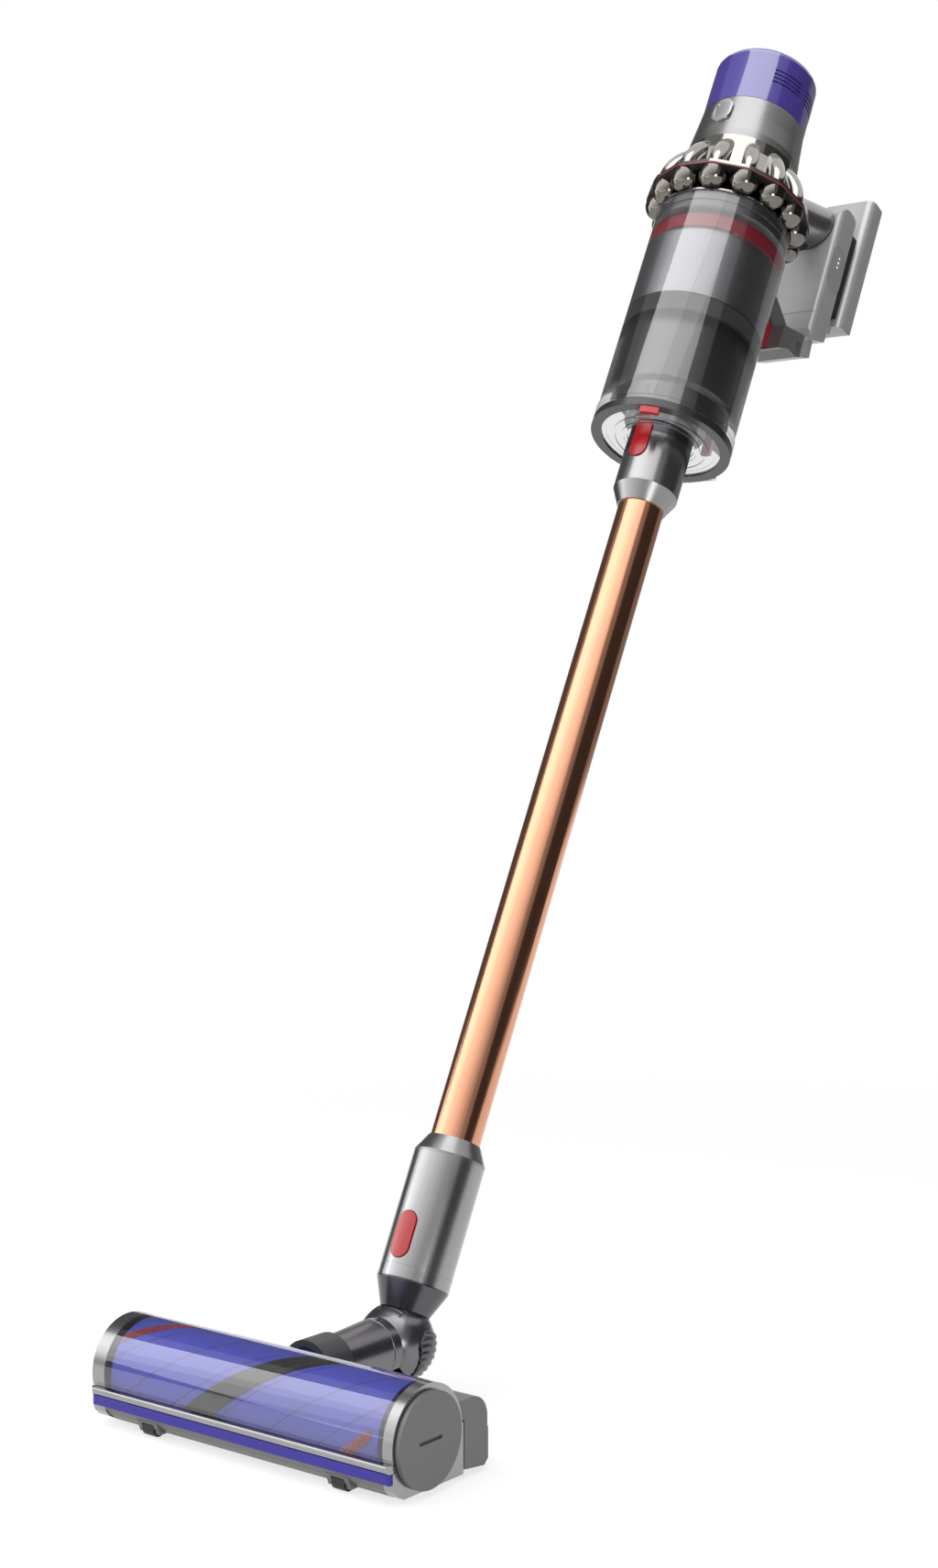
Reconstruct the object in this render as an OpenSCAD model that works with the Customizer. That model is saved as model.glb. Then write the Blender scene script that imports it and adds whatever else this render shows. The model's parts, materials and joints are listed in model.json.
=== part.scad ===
// Cordless stick vacuum cleaner: floor head, jointed neck, wand, clear bin, cyclones, motor and battery handle.
// Millimetres, +Z up, floor at z = 0, brush roller along X, handle towards +Y.
// The cleaner stands with its wand leaning back. Everything above the elbow is drawn along the wand's own axis.

/* [Stance] */
// Lean of the wand back from upright, in degrees
lean = 26.9; // [22:0.1:32]
// Height of the elbow and of the neck's axis above the floor
neck_z = 41.7; // [41:0.1:44]
// Distance from the roller axis back to the elbow
elbow_y = 120.7; // [116:0.1:134]

/* [Floor head] */
// Overall width of the head over its end cap
head_w = 256; // [236:1:280]
// Height of the roller axis above the floor
roller_z = 33; // [32.4:0.1:34]
// Radius of the roller's felted tube
roller_r = 26; // [25:0.1:26.5]
// Wall of the roller's tube
roller_wall = 4.5; // [3.5:0.1:5]
// Height of the bristle strips above the tube
bristle_h = 2.6; // [1.5:0.1:3]
// Turn of the helical strips over the whole roller, in degrees
strip_turn = 321; // [280:1:360]
// Inside radius of the clear cover
cover_r = 30.4; // [30.2:0.1:31]
// Wall of the clear cover
cover_wall = 2.1; // [1.5:0.1:2.6]
// Thickness of each end frame
end_frame_t = 7.5; // [6:0.1:9]
// Thickness of the turning end cap's disc
end_cap_t = 3.1; // [2.5:0.1:4]
// Radius of the turning end cap's disc
end_cap_r = 29; // [28:0.1:30]
// Width of the coin slot in the end cap
coin_slot_w = 2.4; // [1.5:0.1:3]
// Length of the coin slot
coin_slot_l = 21; // [15:0.5:25]
// Back face of the head behind the roller axis
head_back = 59.3; // [58:0.1:64]
// Top of the rear housing
housing_top = 47.5; // [45:0.1:50]
// Ground clearance of the sole
sole_z = 3; // [2.6:0.1:3.2]
// Thickness of the sole plate
sole_t = 3.5; // [3:0.1:4]
// Front of the bumper ahead of the roller axis
bumper_y = 34.5; // [33.5:0.1:37]
// Height of the metal-look bumper bar
bumper_h = 4.9; // [4:0.1:6]
// Radius of the small front wheels
front_wheel_r = 5; // [4.5:0.1:5]
// Distance of the front wheels in from each end of the head
front_wheel_inset = 48; // [38:1:58]
// Radius of the rear rollers
rear_wheel_r = 7; // [6:0.1:7.5]
// Distance between the middles of the rear rollers
rear_wheel_span = 90; // [80:1:120]

/* [Neck] */
// Radius of the elbow's ball
ball_r = 26; // [25.5:0.1:27]
// Radius of the neck's spigot in the head
spigot_r = 16; // [15:0.1:16.4]
// Radius of the lower neck beside the ball
neck_back_r = 20; // [18.5:0.1:21]
// Radius of the lower neck beside the head
neck_front_r = 17.5; // [17:0.1:18.5]
// Half width of the tongue that turns between the ball's cheeks
tongue_half = 12; // [11.4:0.1:13]
// Radius of the round knuckle on the tongue
knuckle_r = 14; // [12:0.1:14.5]
// Radius of the elbow pins
elbow_pin_r = 3.5; // [3:0.1:4]
// Number of folds in the bellows
bellows_folds = 8; // [5:1:10]
// Radius of the neck's air way
air_r = 9; // [8:0.1:9.4]

/* [Wand] */
// Diameter of the wand tube
wand_d = 35; // [32:0.1:37]
// Wall of the wand tube
wand_wall = 1.2; // [0.8:0.1:2]
// Length of wand tube that shows between its cuffs
wand_show = 502.5; // [440:0.5:540]
// Diameter of the cuffs at both ends of the wand
cuff_d = 50; // [47:0.1:50]
// Length of the neck's cuff
neck_cuff_l = 31.5; // [30:0.5:40]
// Length of the wand's lower cuff
lower_cuff_l = 54.5; // [45:0.5:65]
// Length of the wand's upper cuff
upper_cuff_l = 41; // [36:0.5:50]
// Length of the bevelled rings between cuffs and tube
ring_l = 14; // [10:0.5:18]
// How deep the tube sits in each cuff
tube_seat = 16; // [12:0.5:18]

/* [Release buttons] */
// Width of the wand release buttons
button_w = 14.6; // [12:0.1:16]
// Length of the wand release buttons
button_l = 32; // [28:0.5:36]
// How far a button stands out of its cuff
button_out = 1.3; // [0.8:0.1:1.6]
// Thickness of a button
button_t = 4.2; // [3.6:0.1:4.6]

/* [Bin] */
// Outside radius of the clear bin
bin_r = 54.5; // [53.5:0.1:55.5]
// Wall of the clear bin
bin_wall = 2.2; // [1.6:0.1:2.6]
// Length from the flap's underside to the bin's top rim
bin_l = 197.5; // [180:0.5:220]
// Height of the inlet above the wand's cuff, up to the flap's underside
inlet_show = 4; // [3:0.5:10]
// Radius of the inlet duct inside the bin
duct_r = 32; // [30:0.1:34]
// Radius of the metal mesh shroud
mesh_r = 40; // [39:0.1:42]
// Thickness of the metal mesh shroud
mesh_t = 1.2; // [0.8:0.1:2]
// Radius of the shroud's flared skirt
skirt_r = 46.7; // [44:0.1:48]
// Height of the mesh shroud
mesh_h = 60.5; // [50:0.5:70]
// Radius of the pin that the flap hangs on
flap_pin_r = 1.6; // [1.2:0.1:2]

/* [Cyclones] */
// Number of small cyclones round the ring
cyclone_n = 14; // [10:1:14]
// Pitch radius of the cyclone cones
cyclone_pitch = 54.3; // [54:0.1:55.5]
// Radius of each cyclone cone's rounded end
cone_r = 11.9; // [10:0.1:11.9]
// Radius of each arched duct above the ring
arch_r = 6.5; // [5:0.1:7]
// Bend radius of the arched ducts
arch_bend = 40; // [38:0.5:42]
// Height of the silver crown above the red gasket
crown_h = 43.6; // [43:0.1:50]

/* [Motor and filter] */
// Height of the grey motor housing
motor_h = 40; // [38:0.5:46]
// Radius of the motor housing at the filter
filter_r = 42; // [41:0.1:42.8]
// Height of the violet filter cap
filter_h = 52; // [46:0.5:60]
// Wall of the filter cap
filter_wall = 2.4; // [1.8:0.1:3]
// Number of vent slits in each group
slit_n = 4; // [2:1:5]
// Height of each vent slit
slit_h = 1.5; // [1:0.1:2]
// Number of pleats in the filter
pleat_n = 40; // [20:1:60]

/* [Handle] */
// Diameter of the grip
grip_d = 39; // [35:0.1:40]
// Rise of the grip away from the body, in degrees
grip_rise = 25; // [23:0.5:27]
// Width of the handle and battery
handle_w = 50; // [46:0.1:54]
// Inner face of the handle from the machine's axis
handle_in = 118; // [116:0.1:124]
// Thickness of the handle's inner block
handle_t = 27; // [24:0.1:30]
// Gap between the inner block and the battery plate, filled by the narrow core
groove_t = 13; // [10:0.1:15]
// Thickness of the battery plate
battery_t = 22.5; // [20:0.1:26]
// Length of the battery plate with its cover
battery_l = 131; // [120:0.5:140]

/* [Hidden] */

$fn = 96;

// Colours
red = [0.62, 0.08, 0.13];
violet = [0.29, 0.22, 0.62];
grey = [0.42, 0.42, 0.43];
dark = [0.20, 0.20, 0.21];
silver = [0.72, 0.72, 0.73];
copper = [0.70, 0.45, 0.29];
black = [0.06, 0.06, 0.07];
clear = [0.80, 0.85, 0.90, 0.35];

// Fits
run = 0.06;     // radial clearance of a shaft that turns in its hole
seat = 0.05;    // radial clearance of a tube or pin that is fixed in its hole
slip = 0.4;     // clearance round a piece that slides or turns past another
eps = 0.01;

// Floor head, in the (y, z) plane across the roller
half_w = head_w / 2;
frame_out = half_w - end_cap_t - slip;
frame_in = frame_out - end_frame_t;
cover_y = 1.5;
cover_out = cover_r + cover_wall;
roller_l = 2 * frame_in - 10;
roller_x0 = -frame_in + 4;
roller_x1 = roller_x0 + roller_l;
roller_in = roller_r - roller_wall;
bristle_r = roller_r + bristle_h;
strip_gap = 0.35;
journal_r = 8;
sole_top = sole_z + sole_t;
strip_z = sole_z + 10.6;
bumper_z = strip_z + 7;
bumper_top = bumper_z + bumper_h;
nose_y = bumper_y - 4;
strip_t = 2.8;
housing_front = 27;
hump_r = 15;
boss_r = neck_front_r + 3;
boss_front = 33;
boss_back = head_back - 3;
front_wheel_span = head_w - 2 * front_wheel_inset;
front_wheel_y = -23;
front_wheel_w = 10;
front_axle_r = 1.5;
rear_wheel_y = 50;
rear_wheel_w = 12;
rear_axle_r = 2;
felt_y = [28, 31.5];

// Elbow
spigot_l = boss_back - boss_front - 1;
neck_start = elbow_y - boss_back - slip;
fold_r = tongue_half + 5;
tongue_angle = asin((air_r + 2.2) / ball_r);
cheek_in = tongue_half + slip;
sweep_from = 90 - lean - 55 - tongue_angle - 3;
sweep_to = 90 - lean + 26 + tongue_angle + 3;
bellows_from = 208;
bellows_to = 322;

// Heights along the machine's axis, from the elbow
cone_z0 = ball_r - 5.3;
cone_l = 18;
neck_cuff_z = cone_z0 + cone_l;
lower_cuff_z = neck_cuff_z + neck_cuff_l;
ring_z = lower_cuff_z + lower_cuff_l;
tube_z = ring_z + ring_l;
upper_ring_z = tube_z + wand_show;
upper_cuff_z = upper_ring_z + ring_l;
inlet_z = upper_cuff_z + upper_cuff_l;
flap_z = inlet_z + inlet_show;
bin_top = flap_z + bin_l;

cuff_r = cuff_d / 2;
wand_r = wand_d / 2;
pocket_r = cuff_r - 5.7;
lower_button_z = lower_cuff_z - 3.5;
upper_button_z = inlet_z - 6;
button_r = cuff_r + button_out;

flap_t = 3;
flap_lip = 9.5;
tube_bottom = flap_z + flap_lip + 0.3;
hinge_y = bin_r + 4.2;
hinge_z = flap_z + 6;
seal_in = bin_r - 7.5;
flap_in = button_r + 0.5;

seal_h = 1.4;
ring_bottom = bin_top + seal_h;
gasket_z = ring_bottom + 15.7;
gasket_h = 1.4;
crown_z = gasket_z + gasket_h;
motor_z = crown_z + crown_h;
filter_z = motor_z + motor_h;
filter_top = filter_z + filter_h;
collar_z = bin_top - 17;
band_z = collar_z - 11.6;
mesh_z = band_z - mesh_h;
skirt_z = mesh_z - 18;
cone_z = gasket_z - 3.3;
cyclone_phase = -8;
bore_r = 28;

// Handle, in the (y, z) plane of the machine
handle_out = handle_in + handle_t;
badge_z = motor_z + 25.4;
badge_pin_r = 2.5;
plate_in = handle_out + groove_t;
plate_out = plate_in + battery_t;
plate_top = motor_z + 88;
plate_bottom = plate_top - battery_l;
plate_seam = plate_top - 29;
plate_r = 7;
block_top = motor_z + 53;
block_r = 12;
block_seam = motor_z - 56;
block_bottom = motor_z - 72;
grip_y = 50;
grip_z = motor_z;
grip_r = grip_d / 2;
rail_y = [bin_r + 2.5, 82];
screw_y = handle_in - 5;
screw_z = motor_z - 95;
strut_in = 86;
lever_y = [bin_r + 6, strut_in - run];
lever_z = [motor_z - 126, motor_z - 85];

// Footprint: the origin stands at the middle of the bounding box
plate_top_y = elbow_y + (plate_out - plate_r) * cos(lean) + (plate_top - plate_r) * sin(lean) + plate_r;
footprint_mid = (plate_top_y - bumper_y) / 2;

// ---------- helpers ----------

module floor_frame() translate([0, -footprint_mid, 0]) children();

module machine_frame() floor_frame() translate([0, elbow_y, neck_z]) rotate([-lean, 0, 0]) children();

// Draws a (y, z) outline and pulls it along X from x0 to x1
module pull_x(x0, x1) translate([x0, 0, 0]) rotate([90, 0, 90]) linear_extrude(x1 - x0) children();

module rod_x(x0, x1, r, y, z) translate([x0, y, z]) rotate([0, 90, 0]) cylinder(h = x1 - x0, r = r);

module tube_x(x0, x1, r_out, r_in, y, z) difference() {
    rod_x(x0, x1, r_out, y, z);
    rod_x(x0 - 1, x1 + 1, r_in, y, z);
}

module ring(z0, z1, r_in, r_out) difference() {
    translate([0, 0, z0]) cylinder(h = z1 - z0, r = r_out);
    translate([0, 0, z0 - 1]) cylinder(h = z1 - z0 + 2, r = r_in);
}

// A slot outline with round ends, long in y
module stadium(w, l) {
    square([w, l - w], center = true);
    translate([0, (l - w) / 2]) circle(d = w);
    translate([0, -(l - w) / 2]) circle(d = w);
}

// A rectangle from corner a to corner b with rounded corners
module soft_rect(a, b, r) {
    translate([a[0] + r, a[1]]) square([b[0] - a[0] - 2 * r, b[1] - a[1]]);
    translate([a[0], a[1] + r]) square([b[0] - a[0], b[1] - a[1] - 2 * r]);
    for (x = [a[0] + r, b[0] - r], y = [a[1] + r, b[1] - r]) translate([x, y]) circle(r);
}

function wedge(r, from, to) = concat([[0, 0]], [for (i = [0:8]) r * [
    cos(from + (to - from) * i / 8),
    sin(from + (to - from) * i / 8)
]]);

function coil_point(r, length, turns, t) = [r * cos(360 * turns * t), r * sin(360 * turns * t), length * t];

// A compression spring along +Z
module spring(r, wire, length, turns) {
    steps = turns * 12;
    sides = 6;
    ring_pts = [for (i = [0:steps]) let (t = i / steps, a = 360 * turns * t) for (k = [0:sides - 1])
        coil_point(r, length - wire, turns, t) + [0, 0, wire / 2]
        + wire / 2 * (cos(60 * k) * [cos(a), sin(a), 0] + sin(60 * k) * [0, 0, 1])];
    sides_faces = [for (i = [0:steps - 1], k = [0:sides - 1])
        [i * sides + k, (i + 1) * sides + k, (i + 1) * sides + (k + 1) % sides, i * sides + (k + 1) % sides]];
    caps = [[for (k = [0:sides - 1]) k], [for (k = [sides - 1:-1:0]) steps * sides + k]];
    polyhedron(ring_pts, concat(sides_faces, caps));
}

// ---------- floor head ----------

module head_profile() {
    polygon(concat(
        [[housing_front, sole_top], [head_back - 4, sole_z], [head_back, sole_z + 3.5],
         [head_back, roller_z - 7.5], [head_back - 0.8, roller_z - 6.5]],
        [for (a = [0:10:90]) [head_back - 0.8 - hump_r + hump_r * cos(a), housing_top - hump_r + hump_r * sin(a)]],
        [[housing_front, housing_top]]
    ));
}

module head_shell() floor_frame() color(grey) difference() {
    union() {
        pull_x(-frame_out, frame_out) head_profile();
        translate([0, boss_back, neck_z]) rotate([90, 0, 0]) cylinder(h = boss_back - boss_front, r = boss_r);
    }
    rod_x(-half_w, half_w, cover_out + 0.3, cover_y, roller_z);
    translate([0, head_back + 1, neck_z]) rotate([90, 0, 0]) cylinder(h = 40, r = spigot_r + run);
    translate([0, head_back + 5, neck_z]) rotate([90, 0, 0])
        cylinder(h = head_back + 5 - boss_back, r = boss_r);
    for (s = [-1, 1]) {
        translate([s * rear_wheel_span / 2 - rear_wheel_w / 2 - 0.5, rear_wheel_y - rear_wheel_r - 1, 0])
            cube([rear_wheel_w + 1, 2 * rear_wheel_r + 2, 2 * rear_wheel_r + 1.5]);
    }
    rod_x(-rear_wheel_span / 2 - 10, rear_wheel_span / 2 + 10, rear_axle_r + run, rear_wheel_y, rear_wheel_r);
    translate([-half_w, 0, -1]) cube([head_w, housing_front + 8, sole_top + 1]);
    for (s = [-1, 1]) translate([s * (frame_out + frame_in) / 2 - end_frame_t / 2 - 1, 0, 0])
        cube([end_frame_t + 2, housing_front + 9, housing_top - 12]);
}

module sole_plate() floor_frame() color(dark) difference() {
    union() {
        pull_x(-frame_in + seat, frame_in - seat) {
            translate([-nose_y + 9.5, sole_z]) square([nose_y + housing_front - 2, sole_t]);
            polygon([[-nose_y, bumper_z], [-nose_y, sole_z + 9.5], [-nose_y + 3.5, sole_z + 5],
                [-nose_y + 9.5, sole_z], [-nose_y + 12, sole_z], [-nose_y + 12, sole_top],
                [-nose_y + 4, sole_z + 6.5], [-nose_y + 4, bumper_z]]);
        }
        for (s = [-1, 1]) pull_x(s * front_wheel_span / 2 - 9, s * front_wheel_span / 2 + 9)
            polygon([[-nose_y + 1.5, sole_z + 7], [front_wheel_y - 3, sole_z - 0.5], [front_wheel_y + 3, sole_z - 0.5],
                [-nose_y + 12, sole_z + 1], [-nose_y + 12, sole_z + 6.2], [-nose_y + 3, sole_z + 9]]);
    }
    translate([-frame_in + 3, -nose_y + 12, -1]) cube([2 * (frame_in - 3), 42, 20]);
    for (s = [-1, 1]) {
        translate([s * front_wheel_span / 2 - front_wheel_w / 2 - 0.4, front_wheel_y - front_wheel_r - 0.5, -1])
            cube([front_wheel_w + 0.8, 2 * front_wheel_r + 1, 20]);
    }
    for (s = [-1, 1])
        rod_x(s * front_wheel_span / 2 - 8, s * front_wheel_span / 2 + 8, front_axle_r + seat, front_wheel_y,
            front_wheel_r);
}

module front_bumper() floor_frame() color(silver) intersection() {
    pull_x(-half_w, half_w) soft_rect([-bumper_y, bumper_z], [-bumper_y + 6, bumper_top], 1.8);
    linear_extrude(100) soft_rect([-half_w + 1, -bumper_y], [frame_out, 0], 4);
}

module bumper_strip() floor_frame() color(violet) intersection() {
    pull_x(-half_w, half_w) soft_rect([-nose_y - strip_t, strip_z], [-nose_y, bumper_z - 0.2], 1.2);
    linear_extrude(100) soft_rect([-half_w + 1.5, -nose_y - strip_t], [frame_out - 0.5, 0], 2.7);
}

module clear_cover() floor_frame() color(clear) difference() {
    tube_x(-frame_in, frame_in, cover_out, cover_r, cover_y, roller_z);
    translate([-half_w, -60, -20]) cube([head_w, 120, bumper_top + 20.1]);
    translate([-half_w, cover_y + cover_r * cos(30), 0]) cube([head_w, 40, roller_z + cover_r * sin(30)]);
}

module end_outline() {
    intersection() {
        translate([cover_y, roller_z]) circle(cover_out);
        translate([-50, bumper_top + 0.1]) square([100, 60]);
    }
    polygon([[-nose_y, sole_z + 10], [-nose_y + 1.5, sole_z + 6], [-nose_y + 5, sole_z + 2.4], [-nose_y + 10, sole_z],
        [housing_front + 8, sole_z], [housing_front + 8, housing_top - 13], [cover_y + 20, bumper_top + 2],
        [-nose_y, bumper_z - 0.1]]);
    translate([-nose_y + 2.2, sole_z + 9]) square([50, bumper_top - sole_z - 8.8]);
}

module end_frame_left() floor_frame() color(silver) difference() {
    pull_x(-half_w, -frame_in) end_outline();
    translate([-half_w - 1, -bumper_y - 1, bumper_z - 0.1]) cube([end_frame_t + end_cap_t + 4, 7.1, bumper_h + 0.3]);
}

module end_frame_right() floor_frame() color(silver) difference() {
    pull_x(frame_in, frame_out) end_outline();
    rod_x(frame_in - 1, frame_out + 1, end_cap_r - 3, 0, roller_z);
    translate([frame_in - 1, -bumper_y - 1, bumper_z - 0.1]) cube([end_frame_t + 2, 7.1, bumper_h + 0.3]);
}

module end_cap() floor_frame() color(grey) difference() {
    union() {
        rod_x(half_w - end_cap_t, half_w, end_cap_r, 0, roller_z);
        rod_x(frame_in - 2, half_w - end_cap_t, end_cap_r - 3 - slip, 0, roller_z);
    }
    translate([half_w - 2, -coin_slot_l / 2, roller_z - coin_slot_w / 2]) cube([3, coin_slot_l, coin_slot_w]);
    rod_x(frame_in - 3, frame_in + 5, journal_r + run, 0, roller_z);
    tube_x(frame_in - 3, frame_in + 4, end_cap_r - 7, journal_r + 3, 0, roller_z);
}

module brush_core() floor_frame() color(violet) difference() {
    union() {
        rod_x(roller_x0, roller_x1, roller_r, 0, roller_z);
        rod_x(roller_x1 - 1, frame_in + 4, journal_r, 0, roller_z);
    }
    rod_x(roller_x0 - 1, roller_x1 - 6, roller_in, 0, roller_z);
}

// One helical strip: a sector of the given width that starts at angle from (0 = front, 90 = top)
module strip(width, height, from) {
    r0 = roller_r + strip_gap;
    r1 = roller_r + height;
    half = width / 2 / roller_r * 180 / PI;
    translate([roller_x0 + 1, 0, roller_z]) rotate([90, 0, 90])
        linear_extrude(height = roller_l - 2, twist = strip_turn, slices = 36, segments = 8, $fn = 8)
            polygon(concat(
                [for (i = [0:3]) r0 * [cos(180 - from + half * (i / 1.5 - 1)), sin(180 - from + half * (i / 1.5 - 1))]],
                [for (i = [3:-1:0]) r1 * [cos(180 - from + half * (i / 1.5 - 1)), sin(180 - from + half * (i / 1.5 - 1))]]
            ));
}

module bristles_red() floor_frame() color(red) strip(7, bristle_h, 51.5);

module bristles_black() floor_frame() color(black) strip(17, bristle_h - 0.5, -128.5);

module brush_motor() floor_frame() color(dark) union() {
    rod_x(-frame_in, roller_x1 - 60, roller_in - 3, 0, roller_z);
    rod_x(roller_x0, roller_x0 + 8, roller_in - run, 0, roller_z);
    rod_x(roller_x1 - 70, roller_x1 - 62, roller_in - run, 0, roller_z);
}

module sole_felt() floor_frame() color(black) translate([-frame_in + 10, felt_y[0], 0])
    cube([2 * (frame_in - 10), felt_y[1] - felt_y[0], sole_z]);

module front_wheel(s) floor_frame() color(dark) tube_x(
    s * front_wheel_span / 2 - front_wheel_w / 2, s * front_wheel_span / 2 + front_wheel_w / 2,
    front_wheel_r, front_axle_r + run, front_wheel_y, front_wheel_r);

module front_wheel_left() front_wheel(-1);
module front_wheel_right() front_wheel(1);

module rear_rollers() floor_frame() color(dark) union() {
    rod_x(-rear_wheel_span / 2 - 9.5, rear_wheel_span / 2 + 9.5, rear_axle_r, rear_wheel_y, rear_wheel_r);
    for (s = [-1, 1]) rod_x(s * rear_wheel_span / 2 - rear_wheel_w / 2, s * rear_wheel_span / 2 + rear_wheel_w / 2,
        rear_wheel_r, rear_wheel_y, rear_wheel_r);
}

module wheel_axles() floor_frame() color(silver) for (s = [-1, 1])
    rod_x(s * front_wheel_span / 2 - 7.8, s * front_wheel_span / 2 + 7.8, front_axle_r, front_wheel_y,
        front_wheel_r);

// ---------- neck ----------

// Lower neck: +Z of this frame points forward from the elbow, +Y of it up
module neck_frame() floor_frame() translate([0, elbow_y, neck_z]) rotate([90, 0, 0]) children();

module elbow_sector(from, to, half, r) intersection() {
    pull_x(-half, half) polygon(wedge(2 * r, from, to));
    rod_x(-half, half, r, 0, 0);
}

module lower_neck() floor_frame() translate([0, elbow_y, neck_z]) color(dark) difference() {
    union() {
        sphere(ball_r);
        rotate([90, 0, 0]) rotate_extrude() polygon([[0, 0], [neck_back_r, 0], [neck_back_r, 24],
            [neck_back_r - 0.4, 24.4], [neck_back_r - 0.4, 25.2], [neck_back_r, 25.6],
            [neck_front_r, neck_start], [spigot_r, neck_start], [spigot_r, neck_start + spigot_l], [0, neck_start + spigot_l]]);
    }
    elbow_sector(sweep_from, sweep_to, cheek_in, ball_r + 0.3);
    elbow_sector(bellows_from - 3, bellows_to + 4, fold_r + 0.2, ball_r + 0.3);
    rod_x(-cheek_in, cheek_in, knuckle_r + slip, 0, 0);
    rod_x(-ball_r + 4, ball_r - 4, elbow_pin_r + run, 0, 0);
    rotate([90, 0, 0]) cylinder(h = elbow_y, r = air_r);
    for (s = [-1, 1]) translate([s * (ball_r + 4) - 5, -20, -20]) cube([10, 40, 40]);
}

// The folds seen from the side: an arc whose outside steps between r_out and r_out - 2.2
module fold_outline(r_out) {
    n = bellows_folds * 2;
    a = (bellows_to - bellows_from) / n;
    polygon(concat(
        [for (i = [0:n - 1], k = [0.1, 0.9]) let (r = r_out - (i % 2) * 2.2, t = bellows_from + a * (i + k))
            r * [cos(t), sin(t)]],
        [for (i = [n:-1:0]) let (t = bellows_from + a * i) (knuckle_r + slip) * [cos(t), sin(t)]]
    ));
}

module neck_bellows() floor_frame() translate([0, elbow_y, neck_z]) color(black) difference() {
    union() {
        pull_x(-fold_r + 7, fold_r - 7) fold_outline(ball_r - 0.2);
        pull_x(-fold_r, fold_r) fold_outline(ball_r - 4.4);
    }
    rotate([90, 0, 0]) cylinder(h = elbow_y, r = air_r);
}

module upper_neck() machine_frame() color(dark) difference() {
    union() {
        difference() {
            rotate_extrude() polygon([[0, cone_z0 - 2.5], [cuff_r - 8.8, cone_z0 - 2.5], [cuff_r - 0.3, neck_cuff_z - 1],
                [cuff_r - 0.3, neck_cuff_z], [0, neck_cuff_z]]);
            sphere(ball_r + 0.35);
        }
        pull_x(-tongue_half, tongue_half)
            polygon(wedge(ball_r + 4, 90 - tongue_angle, 90 + tongue_angle));
        rod_x(-tongue_half, tongue_half, knuckle_r, 0, 0);
    }
    translate([0, 0, 9]) cylinder(h = 100, r = air_r);
    rod_x(-30, 30, elbow_pin_r + seat, 0, 0);
}

module steel_pins() {
    machine_frame() color(silver) {
        for (s = [0, 1]) mirror([s, 0, 0]) rod_x(tongue_half - 8, ball_r - 4.3, elbow_pin_r, 0, 0);
        rod_x(-15, 15, flap_pin_r, hinge_y, hinge_z);
    }
}

// ---------- wand ----------

module button_pocket(z) translate([0, 0, z]) difference() {
    rotate([90, 0, 0]) linear_extrude(cuff_r + 5) stadium(button_w + 2 * slip, button_l + 2 * slip);
    translate([0, 0, -50]) cylinder(h = 100, r = pocket_r);
}

module release_button(z) intersection() {
    translate([0, 0, z]) rotate([90, 0, 0]) linear_extrude(cuff_r + 5) stadium(button_w, button_l);
    ring(z - button_l, z + button_l, button_r - button_t, button_r);
}

module release_spring(z) translate([0, -pocket_r - 0.1, z]) rotate([90, 0, 0])
    spring(3, 0.5, button_r - button_t - pocket_r - 0.3, 2);

module cuff(z0, z1, deep_from, deep_to) difference() {
    translate([0, 0, z0]) cylinder(h = z1 - z0, r = cuff_r);
    translate([0, 0, z0 - 1]) cylinder(h = z1 - z0 + 2, r = air_r + 2);
    translate([0, 0, deep_from]) cylinder(h = deep_to - deep_from, r = wand_r + seat);
}

module neck_cuff() machine_frame() color(silver) difference() {
    cuff(neck_cuff_z, lower_cuff_z, 0, 0.1);
    button_pocket(lower_button_z);
    ring(neck_cuff_z + 8, neck_cuff_z + 8.6, cuff_r - 0.5, cuff_r + 1);
}

module lower_release() machine_frame() color(red) release_button(lower_button_z);

module lower_release_spring() machine_frame() color(silver) release_spring(lower_button_z);

module wand_lower_cuff() machine_frame() color(silver) difference() {
    cuff(lower_cuff_z, ring_z, ring_z - tube_seat - 1, ring_z + 1);
    button_pocket(lower_button_z);
}

module wand_rings() machine_frame() color(grey) difference() {
    rotate_extrude() polygon([[0, ring_z], [cuff_r, ring_z], [cuff_r, ring_z + 2],
        [wand_r + 1.1, ring_z + ring_l], [0, ring_z + ring_l]]);
    translate([0, 0, ring_z - 1]) cylinder(h = ring_l + 2, r = wand_r + seat);
}

module wand_top_ring() difference() {
    rotate_extrude() polygon([[0, upper_ring_z], [wand_r + 1.1, upper_ring_z], [cuff_r, upper_cuff_z - 1],
        [cuff_r, upper_cuff_z], [0, upper_cuff_z]]);
    translate([0, 0, upper_ring_z - 1]) cylinder(h = ring_l + 2, r = wand_r + seat);
}

module wand_tube() machine_frame() color(copper)
    ring(ring_z - tube_seat, upper_cuff_z + tube_seat, wand_r - wand_wall, wand_r);

module wand_upper_cuff() machine_frame() color(silver) difference() {
    cuff(upper_cuff_z, inlet_z, upper_cuff_z - 1, upper_cuff_z + tube_seat + 1);
    button_pocket(upper_button_z);
}

module upper_release() machine_frame() color(red) release_button(upper_button_z);

module upper_release_spring() machine_frame() color(silver) release_spring(upper_button_z);

// ---------- bin ----------

module inlet_neck() machine_frame() color(dark) difference() {
    ring(inlet_z, flap_z + 12, air_r + 2, cuff_r - 0.4);
    button_pocket(upper_button_z);
}

module inlet_duct() machine_frame() color(grey) difference() {
    rotate_extrude() polygon([[air_r + 2, flap_z + 12], [27, flap_z + 12], [27, flap_z + 32], [29, flap_z + 34],
        [duct_r, flap_z + 36], [duct_r, mesh_z], [duct_r - 3, mesh_z], [duct_r - 3, collar_z], [air_r + 2, collar_z]]);
}

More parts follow.
